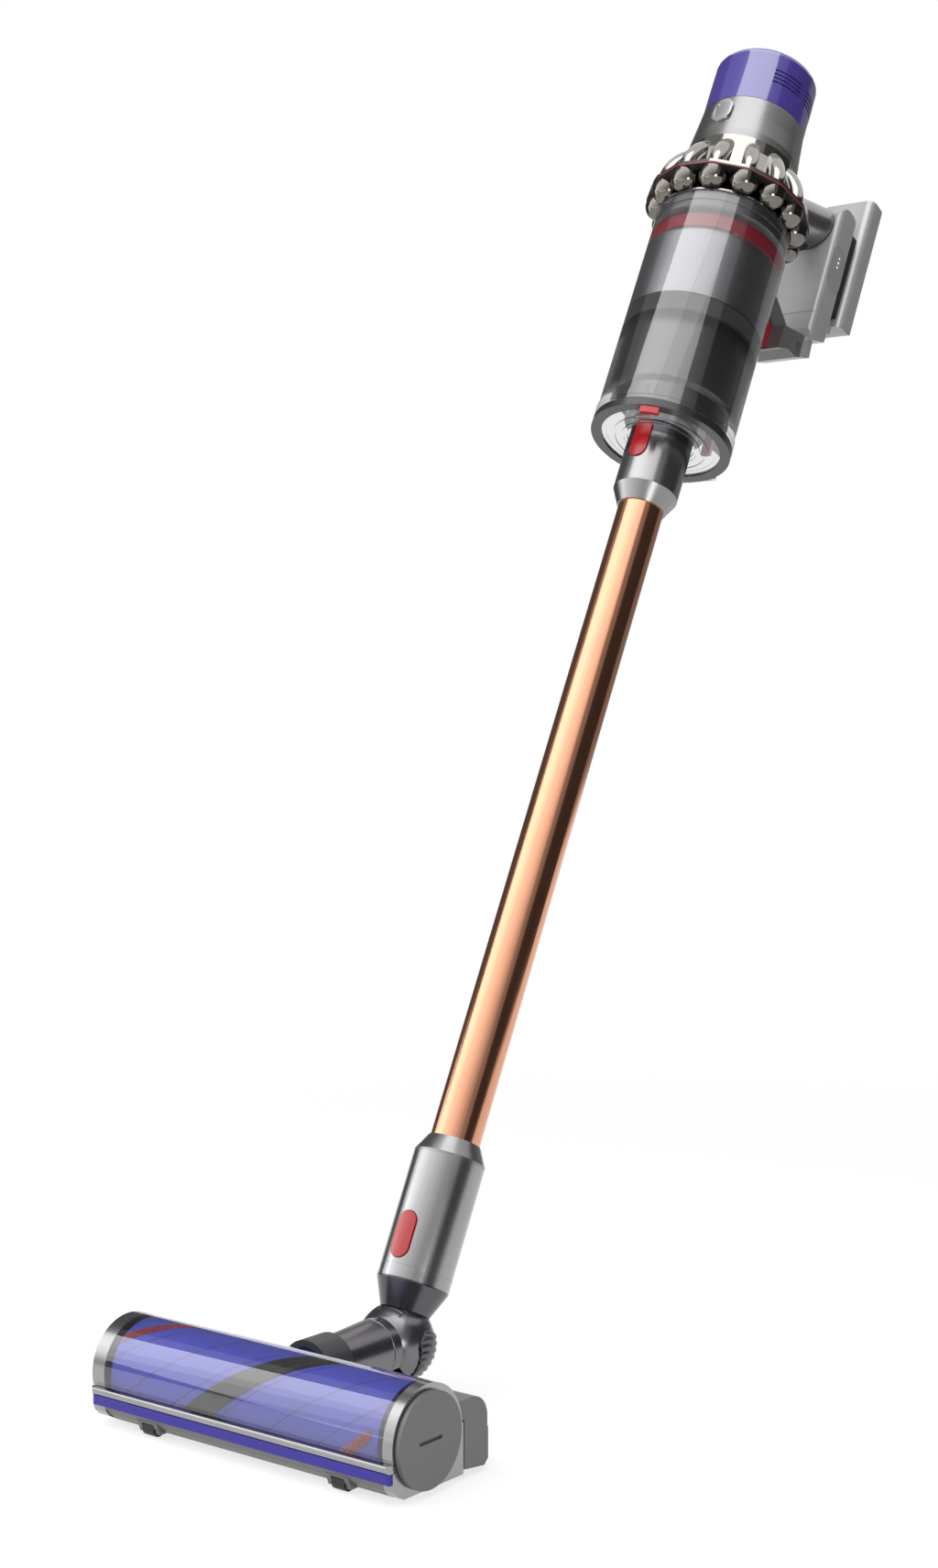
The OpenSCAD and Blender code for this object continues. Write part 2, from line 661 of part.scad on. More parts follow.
module bin_tube() machine_frame() color(clear) union() {
    difference() {
        union() {
            ring(tube_bottom, bin_top, bin_r - bin_wall, bin_r);
            ring(tube_bottom, tube_bottom + 4.5, bin_r - bin_wall, bin_r + 0.8);
        }
    }
    // catch block at the front foot
    rotate([0, 0, 6]) translate([-14, -bin_r + bin_wall - 0.2, tube_bottom + 1]) difference() {
        cube([28, 5, 11]);
        for (x = [6, 20]) translate([x, -1, 3]) cube([3, 4, 6]);
    }
    // hinge lugs at the back foot
    for (x = [-14.5, 8.3]) hinge_lug(x, x + 6.2, tube_bottom + 4);
}

// A lug round the flap pin, joined to the bin's wall up to height top
module hinge_lug(x0, x1, top) difference() {
    union() {
        rod_x(x0, x1, flap_pin_r + 2, hinge_y, hinge_z);
        translate([x0, bin_r - bin_wall + 1, hinge_z]) cube([x1 - x0, hinge_y - bin_r + bin_wall - 1 + flap_pin_r + 2, top - hinge_z]);
    }
    rod_x(x0 - 1, x1 + 1, flap_pin_r + seat, hinge_y, hinge_z);
    translate([0, 0, flap_z - 20]) cylinder(h = flap_lip + 20.2, r = bin_r + 1);
    translate([0, 0, flap_z]) cylinder(h = 60, r = bin_r - bin_wall + 0.5);
}

module bin_flap() machine_frame() color(clear) union() {
    difference() {
        rotate_extrude() polygon([[flap_in, flap_z + 1], [29, flap_z + 1], [29, flap_z], [31, flap_z],
            [31, flap_z + 1], [36, flap_z + 1], [36, flap_z + 0.2], [37.5, flap_z + 0.2], [37.5, flap_z + 1],
            [seal_in - 0.1, flap_z + 1], [seal_in - 0.1, flap_z + 6.2], [bin_r + 0.8, flap_z + 6.2],
            [bin_r + 0.8, flap_z + flap_lip], [seal_in - 3, flap_z + flap_lip], [seal_in - 3, flap_z + 1 + flap_t],
            [flap_in, flap_z + 1 + flap_t]]);
    }
    difference() {
        union() {
            for (x = [-7.6, -1.3, 5]) rod_x(x, x + 2.8, flap_pin_r + 1.8, hinge_y, hinge_z);
            translate([-7.6, bin_r - 2, flap_z + 6.3]) cube([15.4, 5, flap_lip - 6.4]);
        }
        rod_x(-20, 20, flap_pin_r + run, hinge_y, hinge_z);
    }
}

module flap_seal() machine_frame() color(black) ring(flap_z, flap_z + 6, seal_in, bin_r + 0.6);

module base_catch() machine_frame() color(red) rotate([0, 0, 22]) intersection() {
    ring(flap_z - 5.6, flap_z, bin_r - 4, bin_r - 0.3);
    translate([-7.2, -bin_r - 3, flap_z - 6]) cube([14.4, 8, 7]);
}

// ---------- shroud and cyclones ----------

module shroud_skirt() machine_frame() color(black) rotate_extrude() polygon([
    [duct_r + 0.2, mesh_z - 4], [mesh_r - 2, mesh_z - 4], [skirt_r - 3, skirt_z], [skirt_r, skirt_z],
    [skirt_r, skirt_z + 1.5], [mesh_r + 1.2, mesh_z - 1.5], [mesh_r + 1.2, mesh_z], [duct_r + 0.2, mesh_z]]);

module shroud_mesh() machine_frame() color(silver) ring(mesh_z, band_z, mesh_r - mesh_t, mesh_r);

module shroud_band() machine_frame() color(red) ring(band_z, collar_z, duct_r - 2, mesh_r + 4.2);

module cyclone_collar() machine_frame() color(grey) difference() {
    rotate_extrude() polygon([[bore_r, collar_z], [mesh_r + 5, collar_z], [bin_r - bin_wall - 2.6, collar_z + 2.5],
        [bin_r - bin_wall - 0.8, collar_z + 4], [bin_r - bin_wall - 0.8, collar_z + 8],
        [bin_r - bin_wall - 1.8, collar_z + 8.6], [bin_r - bin_wall - 1.8, collar_z + 10],
        [bin_r - bin_wall - 0.4, collar_z + 11], [bin_r - bin_wall - 0.4, bin_top], [bore_r, bin_top]]);
}

module bin_top_seal() machine_frame() color(black) ring(bin_top, ring_bottom, bin_r - bin_wall - 6, bin_r + 0.4);

module round_cyclones() for (k = [0:cyclone_n - 1]) rotate([0, 0, cyclone_phase + 360 * k / cyclone_n - 90])
    children();

module cyclone_ring() machine_frame() color(silver) difference() {
    rotate_extrude() polygon([[bore_r, bin_top], [bin_r - bin_wall - 6.1, bin_top], [bin_r - bin_wall - 6.1, ring_bottom],
        [bin_r, ring_bottom], [bin_r, ring_bottom + 1.5], [bin_r - 3, ring_bottom + 4], [bin_r - 8.5, ring_bottom + 8],
        [bin_r - 8.5, gasket_z], [bore_r, gasket_z]]);
    round_cyclones() translate([cyclone_pitch, 0, cone_z]) rotate_extrude($fn = 48) polygon([
        [0, -cone_r - 1], [cone_r / 2 + 0.3, -cone_r + 0.7], [cone_r * 0.88, -cone_r * 0.56], [cone_r + 0.1, -0.5],
        [cone_r + 0.1, 20], [0, 20]]);
}

module cyclone_cones() machine_frame() color(silver) round_cyclones() intersection() {
    union() {
        translate([cyclone_pitch, 0, cone_z]) sphere(cone_r);
        translate([cyclone_pitch, 0, cone_z]) cylinder(h = gasket_z - cone_z, r = cone_r);
    }
    translate([0, -20, ring_bottom]) cube([100, 40, gasket_z - ring_bottom]);
}

// Outline round all cyclones: their circles and the straight lines that touch neighbouring circles
module scallop(z, h, r) {
    half = 180 / cyclone_n;
    translate([0, 0, z]) rotate([0, 0, cyclone_phase - 90]) linear_extrude(h) union() {
        polygon([for (k = [0:cyclone_n - 1], s = [-1, 1]) let (a = 2 * half * k)
            cyclone_pitch * [cos(a), sin(a)] + r * [cos(a + s * half), sin(a + s * half)]]);
        for (k = [0:cyclone_n - 1]) rotate([0, 0, 2 * half * k]) translate([cyclone_pitch, 0]) circle(r);
    }
}

module cyclone_gasket() machine_frame() color(red) difference() {
    scallop(gasket_z, gasket_h, cone_r + 0.5);
    translate([0, 0, gasket_z - 1]) cylinder(h = gasket_h + 2, r = bore_r);
}

module cyclone_crown() machine_frame() color(silver) difference() {
    union() {
        rotate_extrude() polygon([[bore_r, crown_z], [bin_r - 2, crown_z], [bin_r - 3.5, crown_z + 8],
            [filter_r + 6.5, crown_z + 20], [filter_r + 4.4, crown_z + 32], [filter_r + 3.5, motor_z], [bore_r, motor_z]]);
        scallop(crown_z, 3, cone_r - 0.2);
        round_cyclones() {
            translate([arch_bend + 17.5, 0, crown_z]) cylinder(h = 2, r = arch_r);
            translate([17.5, 0, crown_z + 2]) rotate([90, 0, 0]) rotate_extrude(angle = 60)
                translate([arch_bend, 0]) circle(arch_r);
        }
    }
    translate([0, 0, crown_z - 1]) cylinder(h = crown_h + 2, r = bore_r);
}

// ---------- motor and filter ----------

module grip_frame() translate([0, grip_y, grip_z]) rotate([grip_rise - 90, 0, 0]) children();

// Room that the ring of arched ducts needs
module duct_room() rotate_extrude() polygon([[0, crown_z - 20], [cyclone_pitch + cone_r + 1.5, crown_z - 20],
    [cyclone_pitch + cone_r + 1.5, crown_z + 4], [arch_bend + 17.5 + arch_r - 3, crown_z + 26],
    [filter_r + 9, crown_z + 38], [filter_r + 5, motor_z], [0, motor_z]]);

module motor_housing() machine_frame() color(grey) difference() {
    union() {
        rotate_extrude() polygon([[0, motor_z], [filter_r + 3.5, motor_z], [filter_r + 3.2, motor_z + 6],
            [filter_r + 1.6, motor_z + 22], [filter_r + 0.1, filter_z], [0, filter_z]]);
        difference() {
            grip_frame() cylinder(h = 18, r = grip_r - 2);
            duct_room();
        }
    }
    translate([0, 0, motor_z + 5]) cylinder(h = motor_h, r = filter_r - 5);
    translate([0, 0, motor_z - 1]) cylinder(h = 20, r = bore_r - 6);
    translate([0, 0, badge_z]) rotate([90, 0, 0]) cylinder(h = filter_r + 10, r = badge_pin_r + seat);
}

// The housing's own slope, moved out by the given amount
module housing_skin(from, to) rotate_extrude() polygon([[filter_r + 3.2 + from, motor_z + 6],
    [filter_r + 3.2 + to, motor_z + 6], [filter_r + 1.6 + to, motor_z + 22], [filter_r + 0.1 + to, filter_z],
    [filter_r + 0.1 + from, filter_z], [filter_r + 1.6 + from, motor_z + 22]]);

// Bare oval plate with a raised rim, clipped to the housing by a short pin
module mode_slider() machine_frame() color(silver) union() {
    intersection() {
        translate([0, 0, badge_z]) rotate([90, 0, 0]) linear_extrude(60) stadium(17.6, 22.8);
        housing_skin(0.3, 1.4);
    }
    intersection() {
        translate([0, 0, badge_z]) rotate([90, 0, 0]) linear_extrude(60) difference() {
            stadium(17.6, 22.8);
            stadium(13.6, 18.8);
        }
        housing_skin(0.3, 2.3);
    }
    translate([0, -filter_r + 3, badge_z]) rotate([90, 0, 0]) cylinder(h = 5, r = badge_pin_r);
}

module motor_stator() machine_frame() color(dark) difference() {
    union() {
        translate([0, 0, motor_z + 5]) cylinder(h = 4, r = filter_r - 5 - seat);
        translate([0, 0, motor_z + 5]) cylinder(h = 24, r = 24);
    }
    translate([0, 0, motor_z]) cylinder(h = 40, r = 3 + run);
    for (a = [0:60:300]) rotate([0, 0, a]) translate([31, 0, motor_z]) cylinder(h = 20, r = 5);
}

module impeller() machine_frame() color(silver) union() {
    translate([0, 0, motor_z + 6]) cylinder(h = motor_h - 10, r = 3);
    translate([0, 0, motor_z + 29.5]) cylinder(h = 1.5, r = 22);
    for (a = [0:40:320]) rotate([0, 0, a]) translate([2, -0.6, motor_z + 30]) rotate([0, 0, 18]) cube([19, 1.2, 6]);
}

module filter_cap() machine_frame() color(violet) difference() {
    rotate_extrude() polygon(concat(
        [[0, filter_z + 0.4], [filter_r, filter_z + 0.4]],
        [for (a = [0:15:90]) [filter_r - 6 + 6 * cos(a), filter_top - 6 + 6 * sin(a)]],
        [[0, filter_top]]
    ));
    translate([0, 0, filter_z - 1]) cylinder(h = filter_h - filter_wall, r = filter_r - filter_wall);
    for (a = [23.5, 70.5, 117.5], s = [-1, 1], i = [0:slit_n - 1])
        translate([0, 0, filter_z + 19.5 + i * 3.7]) rotate([0, 0, 90 + s * a - 18.5])
            rotate_extrude(angle = 37) translate([filter_r - filter_wall - 1, 0]) square([filter_wall + 2, slit_h]);
}

module filter_pleats() machine_frame() color("white") difference() {
    translate([0, 0, filter_z + 4]) linear_extrude(filter_h - 8) polygon([for (i = [0:2 * pleat_n - 1])
        (i % 2 == 0 ? filter_r - filter_wall - 0.6 : filter_r - filter_wall - 5) * [cos(180 * i / pleat_n), sin(180 * i / pleat_n)]]);
    translate([0, 0, filter_z]) cylinder(h = filter_h, r = filter_r - 14);
}

// ---------- handle ----------

module grip() machine_frame() color(grey) difference() {
    grip_frame() translate([0, 0, 18]) cylinder(h = 90, r = grip_r);
    translate([-50, handle_in - slip / 4, 0]) cube([100, 100, 2000]);
    duct_room();
    // trigger well on the underside
    grip_frame() translate([-5.4, grip_r - 14, 26.6]) cube([10.8, 26, 30.8]);
}

module handle_side() {
    for (y = [handle_in + block_r, handle_out - block_r]) translate([y, block_top - block_r]) circle(block_r);
    translate([handle_in + block_r, block_top - block_r]) square([handle_t - 2 * block_r, block_r]);
    polygon([[handle_in, block_top - block_r], [handle_out, block_top - block_r], [handle_out, block_seam + 1],
        [handle_out - 0.8, block_seam + 1], [handle_out - 0.8, block_seam], [handle_out, block_seam],
        [handle_out, block_seam - 5], [handle_out - 4, block_bottom], [handle_in + 4, block_bottom - 10],
        [handle_in, block_bottom], [handle_in, block_seam], [handle_in + 0.8, block_seam],
        [handle_in + 0.8, block_seam + 1], [handle_in, block_seam + 1]]);
}

module handle_section() soft_rect([-handle_w / 2, handle_in], [handle_w / 2, handle_out], 5);

module handle_frame() machine_frame() color(grey) difference() {
    union() {
        intersection() {
            pull_x(-handle_w, handle_w) handle_side();
            linear_extrude(1500) handle_section();
        }
        // narrow core in the groove
        translate([-handle_w / 2 + 6, handle_out - 1, plate_bottom + 8]) cube([handle_w - 12, groove_t + 0.9, block_top - plate_bottom - 16]);
        // strut back to the bin
        pull_x(-21, 21) polygon([[strut_in, motor_z - 92], [handle_in + 8, motor_z - 77.5], [handle_in + 12, block_bottom - 2],
            [handle_in + 14, motor_z - 93], [113, motor_z - 105], [100, motor_z - 106], [strut_in, motor_z - 114]]);
        // rail behind the bin
        intersection() {
            translate([0, 0, motor_z - 80]) linear_extrude(61) soft_rect([-11, rail_y[0]], [11, rail_y[1]], 6);
            pull_x(-12, 12) soft_rect([0, motor_z - 120], [rail_y[1], motor_z - 19], 9);
        }
        pull_x(-11, 11) polygon([[rail_y[0] + 6, motor_z - 80], [rail_y[1] - 3, motor_z - 68], [strut_in + 24, motor_z - 83],
            [strut_in + 8, motor_z - 100], [strut_in, motor_z - 92]]);
    }
    duct_room();
    for (s = [0, 1]) mirror([s, 0, 0]) {
        rod_x(16, 30, 4.2, screw_y, screw_z);
        // recess for the charge window
        translate([handle_w / 2 - 0.8, handle_in + handle_t / 2, motor_z - 5.5]) rotate([90, 0, 90])
            linear_extrude(2) stadium(22, 44);
    }
}

module trigger() machine_frame() color(dark) grip_frame() intersection() {
    translate([-5, grip_r - 7.6, 27]) cube([10, 18, 30]);
    translate([0, grip_r - 18, 42]) rotate([0, 90, 0]) translate([0, 0, -5]) cylinder(h = 10, r = 24);
}

module trigger_spring() machine_frame() color(silver) grip_frame() translate([0, grip_r - 13.9, 42])
    rotate([-90, 0, 0]) spring(3, 0.6, 6.1, 3);

module battery_section() soft_rect([-handle_w / 2, plate_in], [handle_w / 2, plate_out], plate_r);

// Side outline of the plate; its outer corners are rounded by radius low at the bottom and high at the top
module battery_side(z0, z1, low, high) {
    translate([plate_in, z0]) square([battery_t - max(low, high), z1 - z0]);
    translate([plate_in, z0 + low]) square([battery_t, z1 - z0 - low - high]);
    translate([plate_out - max(low, high), low > 0 ? z0 + low : z1 - high]) circle(max(low, high));
}

module battery_pack() machine_frame() color(silver) union() {
    intersection() {
        pull_x(-handle_w, handle_w) battery_side(plate_bottom, plate_seam, 12, 0);
        linear_extrude(1500) battery_section();
    }
    // charging end below the core
    difference() {
        translate([-14, handle_out + 0.1, plate_bottom - 6]) cube([28, groove_t + 4, 13.5]);
        translate([-6, handle_out + 4, plate_bottom - 7]) cube([12, 6, 8]);
    }
}

module battery_cover() machine_frame() color(silver) intersection() {
    pull_x(-handle_w, handle_w) battery_side(plate_seam + 0.1, plate_top, 0, plate_r);
    linear_extrude(1500) battery_section();
}

module led_window() machine_frame() color(dark) for (s = [0, 1]) mirror([s, 0, 0])
    translate([handle_w / 2 - 0.8, handle_in + handle_t / 2, motor_z - 5.5]) rotate([90, 0, 90])
        linear_extrude(0.6) stadium(21.8, 43.8);

module frame_screws() machine_frame() color(silver) for (s = [0, 1]) mirror([s, 0, 0]) difference() {
    rod_x(16, 18.5, 4.1, screw_y, screw_z);
    rod_x(17.2, 19, 1.8, screw_y, screw_z);
}

module bin_release() machine_frame() color(red) union() {
    pull_x(-9, 9) polygon([[lever_y[0] + 10, lever_z[1] - 1], [lever_y[1], lever_z[1] - 8], [lever_y[1], lever_z[0] + 14],
        [lever_y[0] + 9, lever_z[0]], [lever_y[0], lever_z[0] + 4], [lever_y[0], lever_z[1] - 8]]);
    translate([-4, lever_y[0] - 3, lever_z[0] - 60]) cube([8, 3.5, 80]);
}

head_shell();
sole_plate();
front_bumper();
bumper_strip();
clear_cover();
end_frame_left();
end_frame_right();
end_cap();
brush_core();
bristles_red();
bristles_black();
brush_motor();
sole_felt();
front_wheel_left();
front_wheel_right();
rear_rollers();
wheel_axles();
lower_neck();
neck_bellows();
upper_neck();
steel_pins();
neck_cuff();
lower_release();
lower_release_spring();
wand_lower_cuff();
union() { wand_rings(); machine_frame() color(grey) wand_top_ring(); }
wand_tube();
wand_upper_cuff();
upper_release();
upper_release_spring();
inlet_neck();
inlet_duct();
bin_tube();
bin_flap();
flap_seal();
base_catch();
shroud_skirt();
shroud_mesh();
shroud_band();
cyclone_collar();
bin_top_seal();
cyclone_ring();
cyclone_gasket();
cyclone_cones();
cyclone_crown();
motor_housing();
mode_slider();
motor_stator();
impeller();
filter_cap();
filter_pleats();
grip();
handle_frame();
trigger();
trigger_spring();
battery_pack();
battery_cover();
led_window();
frame_screws();
bin_release();
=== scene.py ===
# %% [markdown]
# # A cordless stick vacuum cleaner
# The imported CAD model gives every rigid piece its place. This notebook adds what a drawing cannot carry:
# the finish of each surface, the fine repeated detail and the soft pieces, all made in code.

import json
import math

import bmesh
import bpy
from mathutils import Matrix, Vector


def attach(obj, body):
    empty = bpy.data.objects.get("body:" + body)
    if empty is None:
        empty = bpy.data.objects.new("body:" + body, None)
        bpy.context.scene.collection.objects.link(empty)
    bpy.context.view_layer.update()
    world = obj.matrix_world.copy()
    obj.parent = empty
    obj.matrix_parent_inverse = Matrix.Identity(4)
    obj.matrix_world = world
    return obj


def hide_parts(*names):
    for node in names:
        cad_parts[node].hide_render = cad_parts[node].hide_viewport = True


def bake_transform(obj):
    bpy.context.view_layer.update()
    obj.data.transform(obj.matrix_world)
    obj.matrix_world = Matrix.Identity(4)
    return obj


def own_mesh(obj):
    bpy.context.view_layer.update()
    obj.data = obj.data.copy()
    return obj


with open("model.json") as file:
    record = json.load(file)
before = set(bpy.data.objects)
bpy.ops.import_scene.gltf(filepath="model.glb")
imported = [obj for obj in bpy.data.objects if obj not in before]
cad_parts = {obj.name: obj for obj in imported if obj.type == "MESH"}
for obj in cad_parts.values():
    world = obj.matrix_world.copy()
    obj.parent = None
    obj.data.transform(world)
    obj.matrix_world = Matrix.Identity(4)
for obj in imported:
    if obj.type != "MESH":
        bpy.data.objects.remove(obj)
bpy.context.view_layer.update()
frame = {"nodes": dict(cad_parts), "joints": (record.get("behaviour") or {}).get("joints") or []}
MM = 0.001
joints = {j["name"]: j for j in frame["joints"]}
nodes = frame["nodes"]
print("CAD pieces:", len(nodes), "joints:", len(joints))

# %% [markdown]
# Everything above the elbow is round about one leaning axis, so most detail is easiest to place in that
# axis's own coordinates: x to the right, y to the back and h up along the wand from the elbow, in millimetres.
# The roller has its own axis along X in the floor head.

# %% The machine's own axis
PIVOT = Vector(joints["neck_pitch"]["pos_m"])
AXIS = Vector(joints["rotor_spin"]["axis"]).normalized()
LEAN = math.atan2(AXIS.y, AXIS.z)
MACHINE = Matrix.Translation(PIVOT) @ Matrix.Rotation(-LEAN, 4, "X")
ROLLER = Vector(joints["brush_spin"]["pos_m"])


def machine(x, y, h):
    """A point given in millimetres along the machine's axes, as a place in the frame."""
    return MACHINE @ (Vector((x, y, h)) * MM)


print("lean", round(math.degrees(LEAN), 2), "elbow at", [round(v, 4) for v in PIVOT])

# %% [markdown]
# The camera comes first. It stands to the right of the head's front, about half as high as the machine, as a
# product photographer sets it to let a tall object fill an upright frame.

# %% Camera
CAMERA_FROM = Vector((928.97, -1107.0, 410.37))
CAMERA_TO = Vector((0, 78.6, 368.3))
camera = bpy.data.objects.new("camera", bpy.data.cameras.new("camera"))
bpy.context.scene.collection.objects.link(camera)
camera.location = PIVOT + CAMERA_FROM * MM
aim = PIVOT + CAMERA_TO * MM
camera.rotation_euler = (aim - camera.location).to_track_quat("-Z", "Y").to_euler()
camera.data.lens = 50.38
camera.data.sensor_width = 36
camera.data.clip_end = 50
bpy.context.scene.camera = camera
print("camera to object", round((aim - camera.location).length, 2), "m, height", round(camera.location.z, 2), "m")

# %% [markdown]
# One function turns the usual sRGB hex colours into Blender's linear ones, and one adds a node with its
# settings and links. Every material below is built from these two.


# %% Colour and node helpers
def colour(code):
    """An sRGB hex colour as linear RGBA."""
    parts = [int(code[i : i + 2], 16) / 255 for i in (1, 3, 5)]
    linear = [c / 12.92 if c <= 0.04045 else ((c + 0.055) / 1.055) ** 2.4 for c in parts]
    return (*linear, 1.0)


def add(tree, kind, inputs=None, **settings):
    """Adds a node, sets its properties, then fills its inputs. A socket given as an input is linked, and of a
    node given as an input the first output is."""
    made = tree.nodes.new(kind)
    for key, value in settings.items():
        setattr(made, key, value)
    for key, value in (inputs or {}).items():
        if isinstance(value, bpy.types.Node):
            value = value.outputs[0]
        if isinstance(value, bpy.types.NodeSocket):
            tree.links.new(value, made.inputs[key])
        else:
            made.inputs[key].default_value = value
    return made


def new_material(name):
    """An empty node material and its tree."""
    material = bpy.data.materials.new(name)
    material.use_nodes = True
    material.node_tree.nodes.clear()
    return material, material.node_tree


print("white is", colour("#ffffff"))

# %% [markdown]
# The floor and the light are plain. The floor is pale and takes a soft shadow, and far from the object it turns
# into the white of the world, so no horizon shows. The world is white to the camera, to reflections and to clear
# plastic, but weaker as a light, so that colours render as written.


# %% Floor and world
def seen_ray(tree):
    """1 for camera, glossy and transmission rays, else 0."""
    path = add(tree, "ShaderNodeLightPath").outputs
    either = add(tree, "ShaderNodeMath", {0: path["Is Camera Ray"], 1: path["Is Glossy Ray"]}, operation="MAXIMUM")
    return add(tree, "ShaderNodeMath", {0: either, 1: path["Is Transmission Ray"]}, operation="MAXIMUM")


side = 14
floor_drop = 0.0004
floor_mesh = bpy.data.meshes.new("floor")
floor_mesh.from_pydata([(-side, -side, 0), (side, -side, 0), (side, side, 0), (-side, side, 0)], [], [(0, 1, 2, 3)])
floor = bpy.data.objects.new("floor", floor_mesh)
bpy.context.scene.collection.objects.link(floor)
floor.location.z = -floor_drop
floor_material, tree = new_material("pale_floor")
seen = seen_ray(tree)
matt = add(tree, "ShaderNodeBsdfDiffuse", {"Color": colour("#a4a4a4")})
lift = add(tree, "ShaderNodeMath", {0: seen, 1: 0.72}, operation="MULTIPLY")
glow = add(tree, "ShaderNodeEmission", {"Color": (1, 1, 1, 1), "Strength": lift})
both = add(tree, "ShaderNodeAddShader", {0: matt, 1: glow})
place = add(tree, "ShaderNodeTexCoord").outputs["Object"]
away = add(tree, "ShaderNodeVectorMath", {0: place}, operation="LENGTH").outputs["Value"]
fade = add(tree, "ShaderNodeMapRange", {"Value": away, "From Min": 0.55, "From Max": 1.3},
           interpolation_type="SMOOTHSTEP")
white = add(tree, "ShaderNodeEmission", {"Color": (1, 1, 1, 1), "Strength": 1.0})
share = add(tree, "ShaderNodeMath", {0: fade, 1: seen}, operation="MULTIPLY")
mixed = add(tree, "ShaderNodeMixShader", {0: share, 1: both, 2: white})
add(tree, "ShaderNodeOutputMaterial", {"Surface": mixed})
floor_mesh.materials.append(floor_material)

world = bpy.data.worlds.new("studio")
bpy.context.scene.world = world
world.use_nodes = True
tree = world.node_tree
tree.nodes.clear()
level = add(tree, "ShaderNodeMapRange", {"Value": seen_ray(tree), "To Min": 0.3, "To Max": 1.0})
backdrop = add(tree, "ShaderNodeBackground", {"Color": (1, 1, 1, 1), "Strength": level})
add(tree, "ShaderNodeOutputWorld", {"Surface": backdrop})
print("floor reaches", side, "m each way")

# %% [markdown]
# One large softbox reaches from low on the left to high above the machine, so that the leaning wand, the cuffs
# and the roller's cover all mirror it as one long band left of their middle. Dimmer strips beside it let the band
# fade to the right, and one beside its upper end is for the tapered housing. A small lamp on the right opens up
# the right sides, and one on the left lights the left edges. Cards that only reflections see stand all round:
# grey in front and at the left, almost black at the right, and a narrower one on each side towards the back.


# %% Softboxes and cards
KEY_ALONG = Vector((0.800, 0.215, 0.560)).normalized()
KEY_OUT = Vector((-0.357, -0.593, 0.714))
KEY_OUT = (KEY_OUT - KEY_ALONG * KEY_OUT.dot(KEY_ALONG)).normalized()
KEY_DISTANCE = 1.97
KEY_LENGTH = 5.6
SIDE_DISTANCE = 2.6
UPRIGHT = Vector((0, 0, 1))
FRONT = (Vector((0, -1, 0)) + AXIS * AXIS.y).normalized()
view = camera.location - PIVOT
CAMERA_PHI = math.atan2(view.x, view.dot(FRONT))
CAMERA_SIDE = Vector((1, 0, 0)) * math.sin(CAMERA_PHI) + FRONT * math.cos(CAMERA_PHI)


def ring(centre, along, out, angle, distance, shift):
    """A place round an axis: angle from the out direction, distance from the axis and shift along it."""
    a = math.radians(angle)
    return centre + along * shift + (out * math.cos(a) + along.cross(out) * math.sin(a)) * distance


def softbox(name, centre, along, out, low, high, distance, length, radiance):
    """A rectangular area light facing the axis, between two angles round it."""
    data = bpy.data.lights.new(name, "AREA")
    data.shape = "RECTANGLE"
    data.size = 2 * distance * math.tan(math.radians((high - low) / 2))
    data.size_y = length
    data.energy = radiance * math.pi * data.size * data.size_y
    lamp = bpy.data.objects.new(name, data)
    bpy.context.scene.collection.objects.link(lamp)
    place = ring(centre, along, out, (low + high) / 2, distance, 0)
    away = (place - centre).normalized()
    lamp.matrix_world = Matrix.Translation(place) @ Matrix((along.cross(away), along, away)).transposed().to_4x4()


middle = PIVOT + Vector((0, 0.2, 0.4))
for name, low, high, radiance in (("key_light", -20, 3, 2.3), ("key_fade_1", 3, 14, 1.9),
                                  ("key_fade_2", 14, 28, 1.4), ("key_fade_3", 28, 40, 1.0),
                                  ("key_fade_4", 40, 52, 0.65), ("key_fade_5", 52, 66, 0.3)):
    softbox(name, middle + KEY_ALONG * 0.85, KEY_ALONG, KEY_OUT, low, high, KEY_DISTANCE, KEY_LENGTH, radiance)
softbox("key_top", middle + KEY_ALONG * 2.0, KEY_ALONG, KEY_OUT, -34, -20, KEY_DISTANCE, 2.5, 2.2)
softbox("left_light", PIVOT + UPRIGHT * 0.55, UPRIGHT, Vector((-0.951, -0.309, 0.0)), -13, 13, SIDE_DISTANCE,
        1.1, 1.8)
softbox("right_light", middle, UPRIGHT, Vector((0.8, -0.6, 0.0)), -9, 9, SIDE_DISTANCE, 0.7, 6.5)

CARD_DISTANCE = 3.4
CARD_ENDS = (-1.2, 4.6)
CARD_STEPS = 12


def card(name, low, high, level):
    """A curved card round the leaning axis that only reflections see."""
    made = bmesh.new()
    previous = None
    for i in range(CARD_STEPS + 1):
        angle = low + (high - low) * i / CARD_STEPS
        pair = [made.verts.new(ring(PIVOT, AXIS, CAMERA_SIDE, angle, CARD_DISTANCE, h)) for h in CARD_ENDS]
        if previous:
            made.faces.new((previous[0], pair[0], pair[1], previous[1]))
        previous = pair
    mesh = bpy.data.meshes.new(name)
    made.to_mesh(mesh)
    made.free()
    material, tree = new_material(name + "_felt")
    lit = add(tree, "ShaderNodeEmission", {"Color": colour("#ffffff"), "Strength": level})
    add(tree, "ShaderNodeOutputMaterial", {"Surface": lit})
    mesh.materials.append(material)
    shown = bpy.data.objects.new(name, mesh)
    bpy.context.scene.collection.objects.link(shown)
    shown.visible_camera = shown.visible_diffuse = shown.visible_transmission = shown.visible_shadow = False


for name, low, high, level in (("edge_card_left", -165, -104, 0.10), ("grey_card", -104, 36, 0.30),
                               ("dark_card_right", 36, 112, 0.05), ("edge_card_right", 112, 165, 0.25)):
    card(name, low, high, level)
bpy.context.scene.view_settings.view_transform = "Standard"

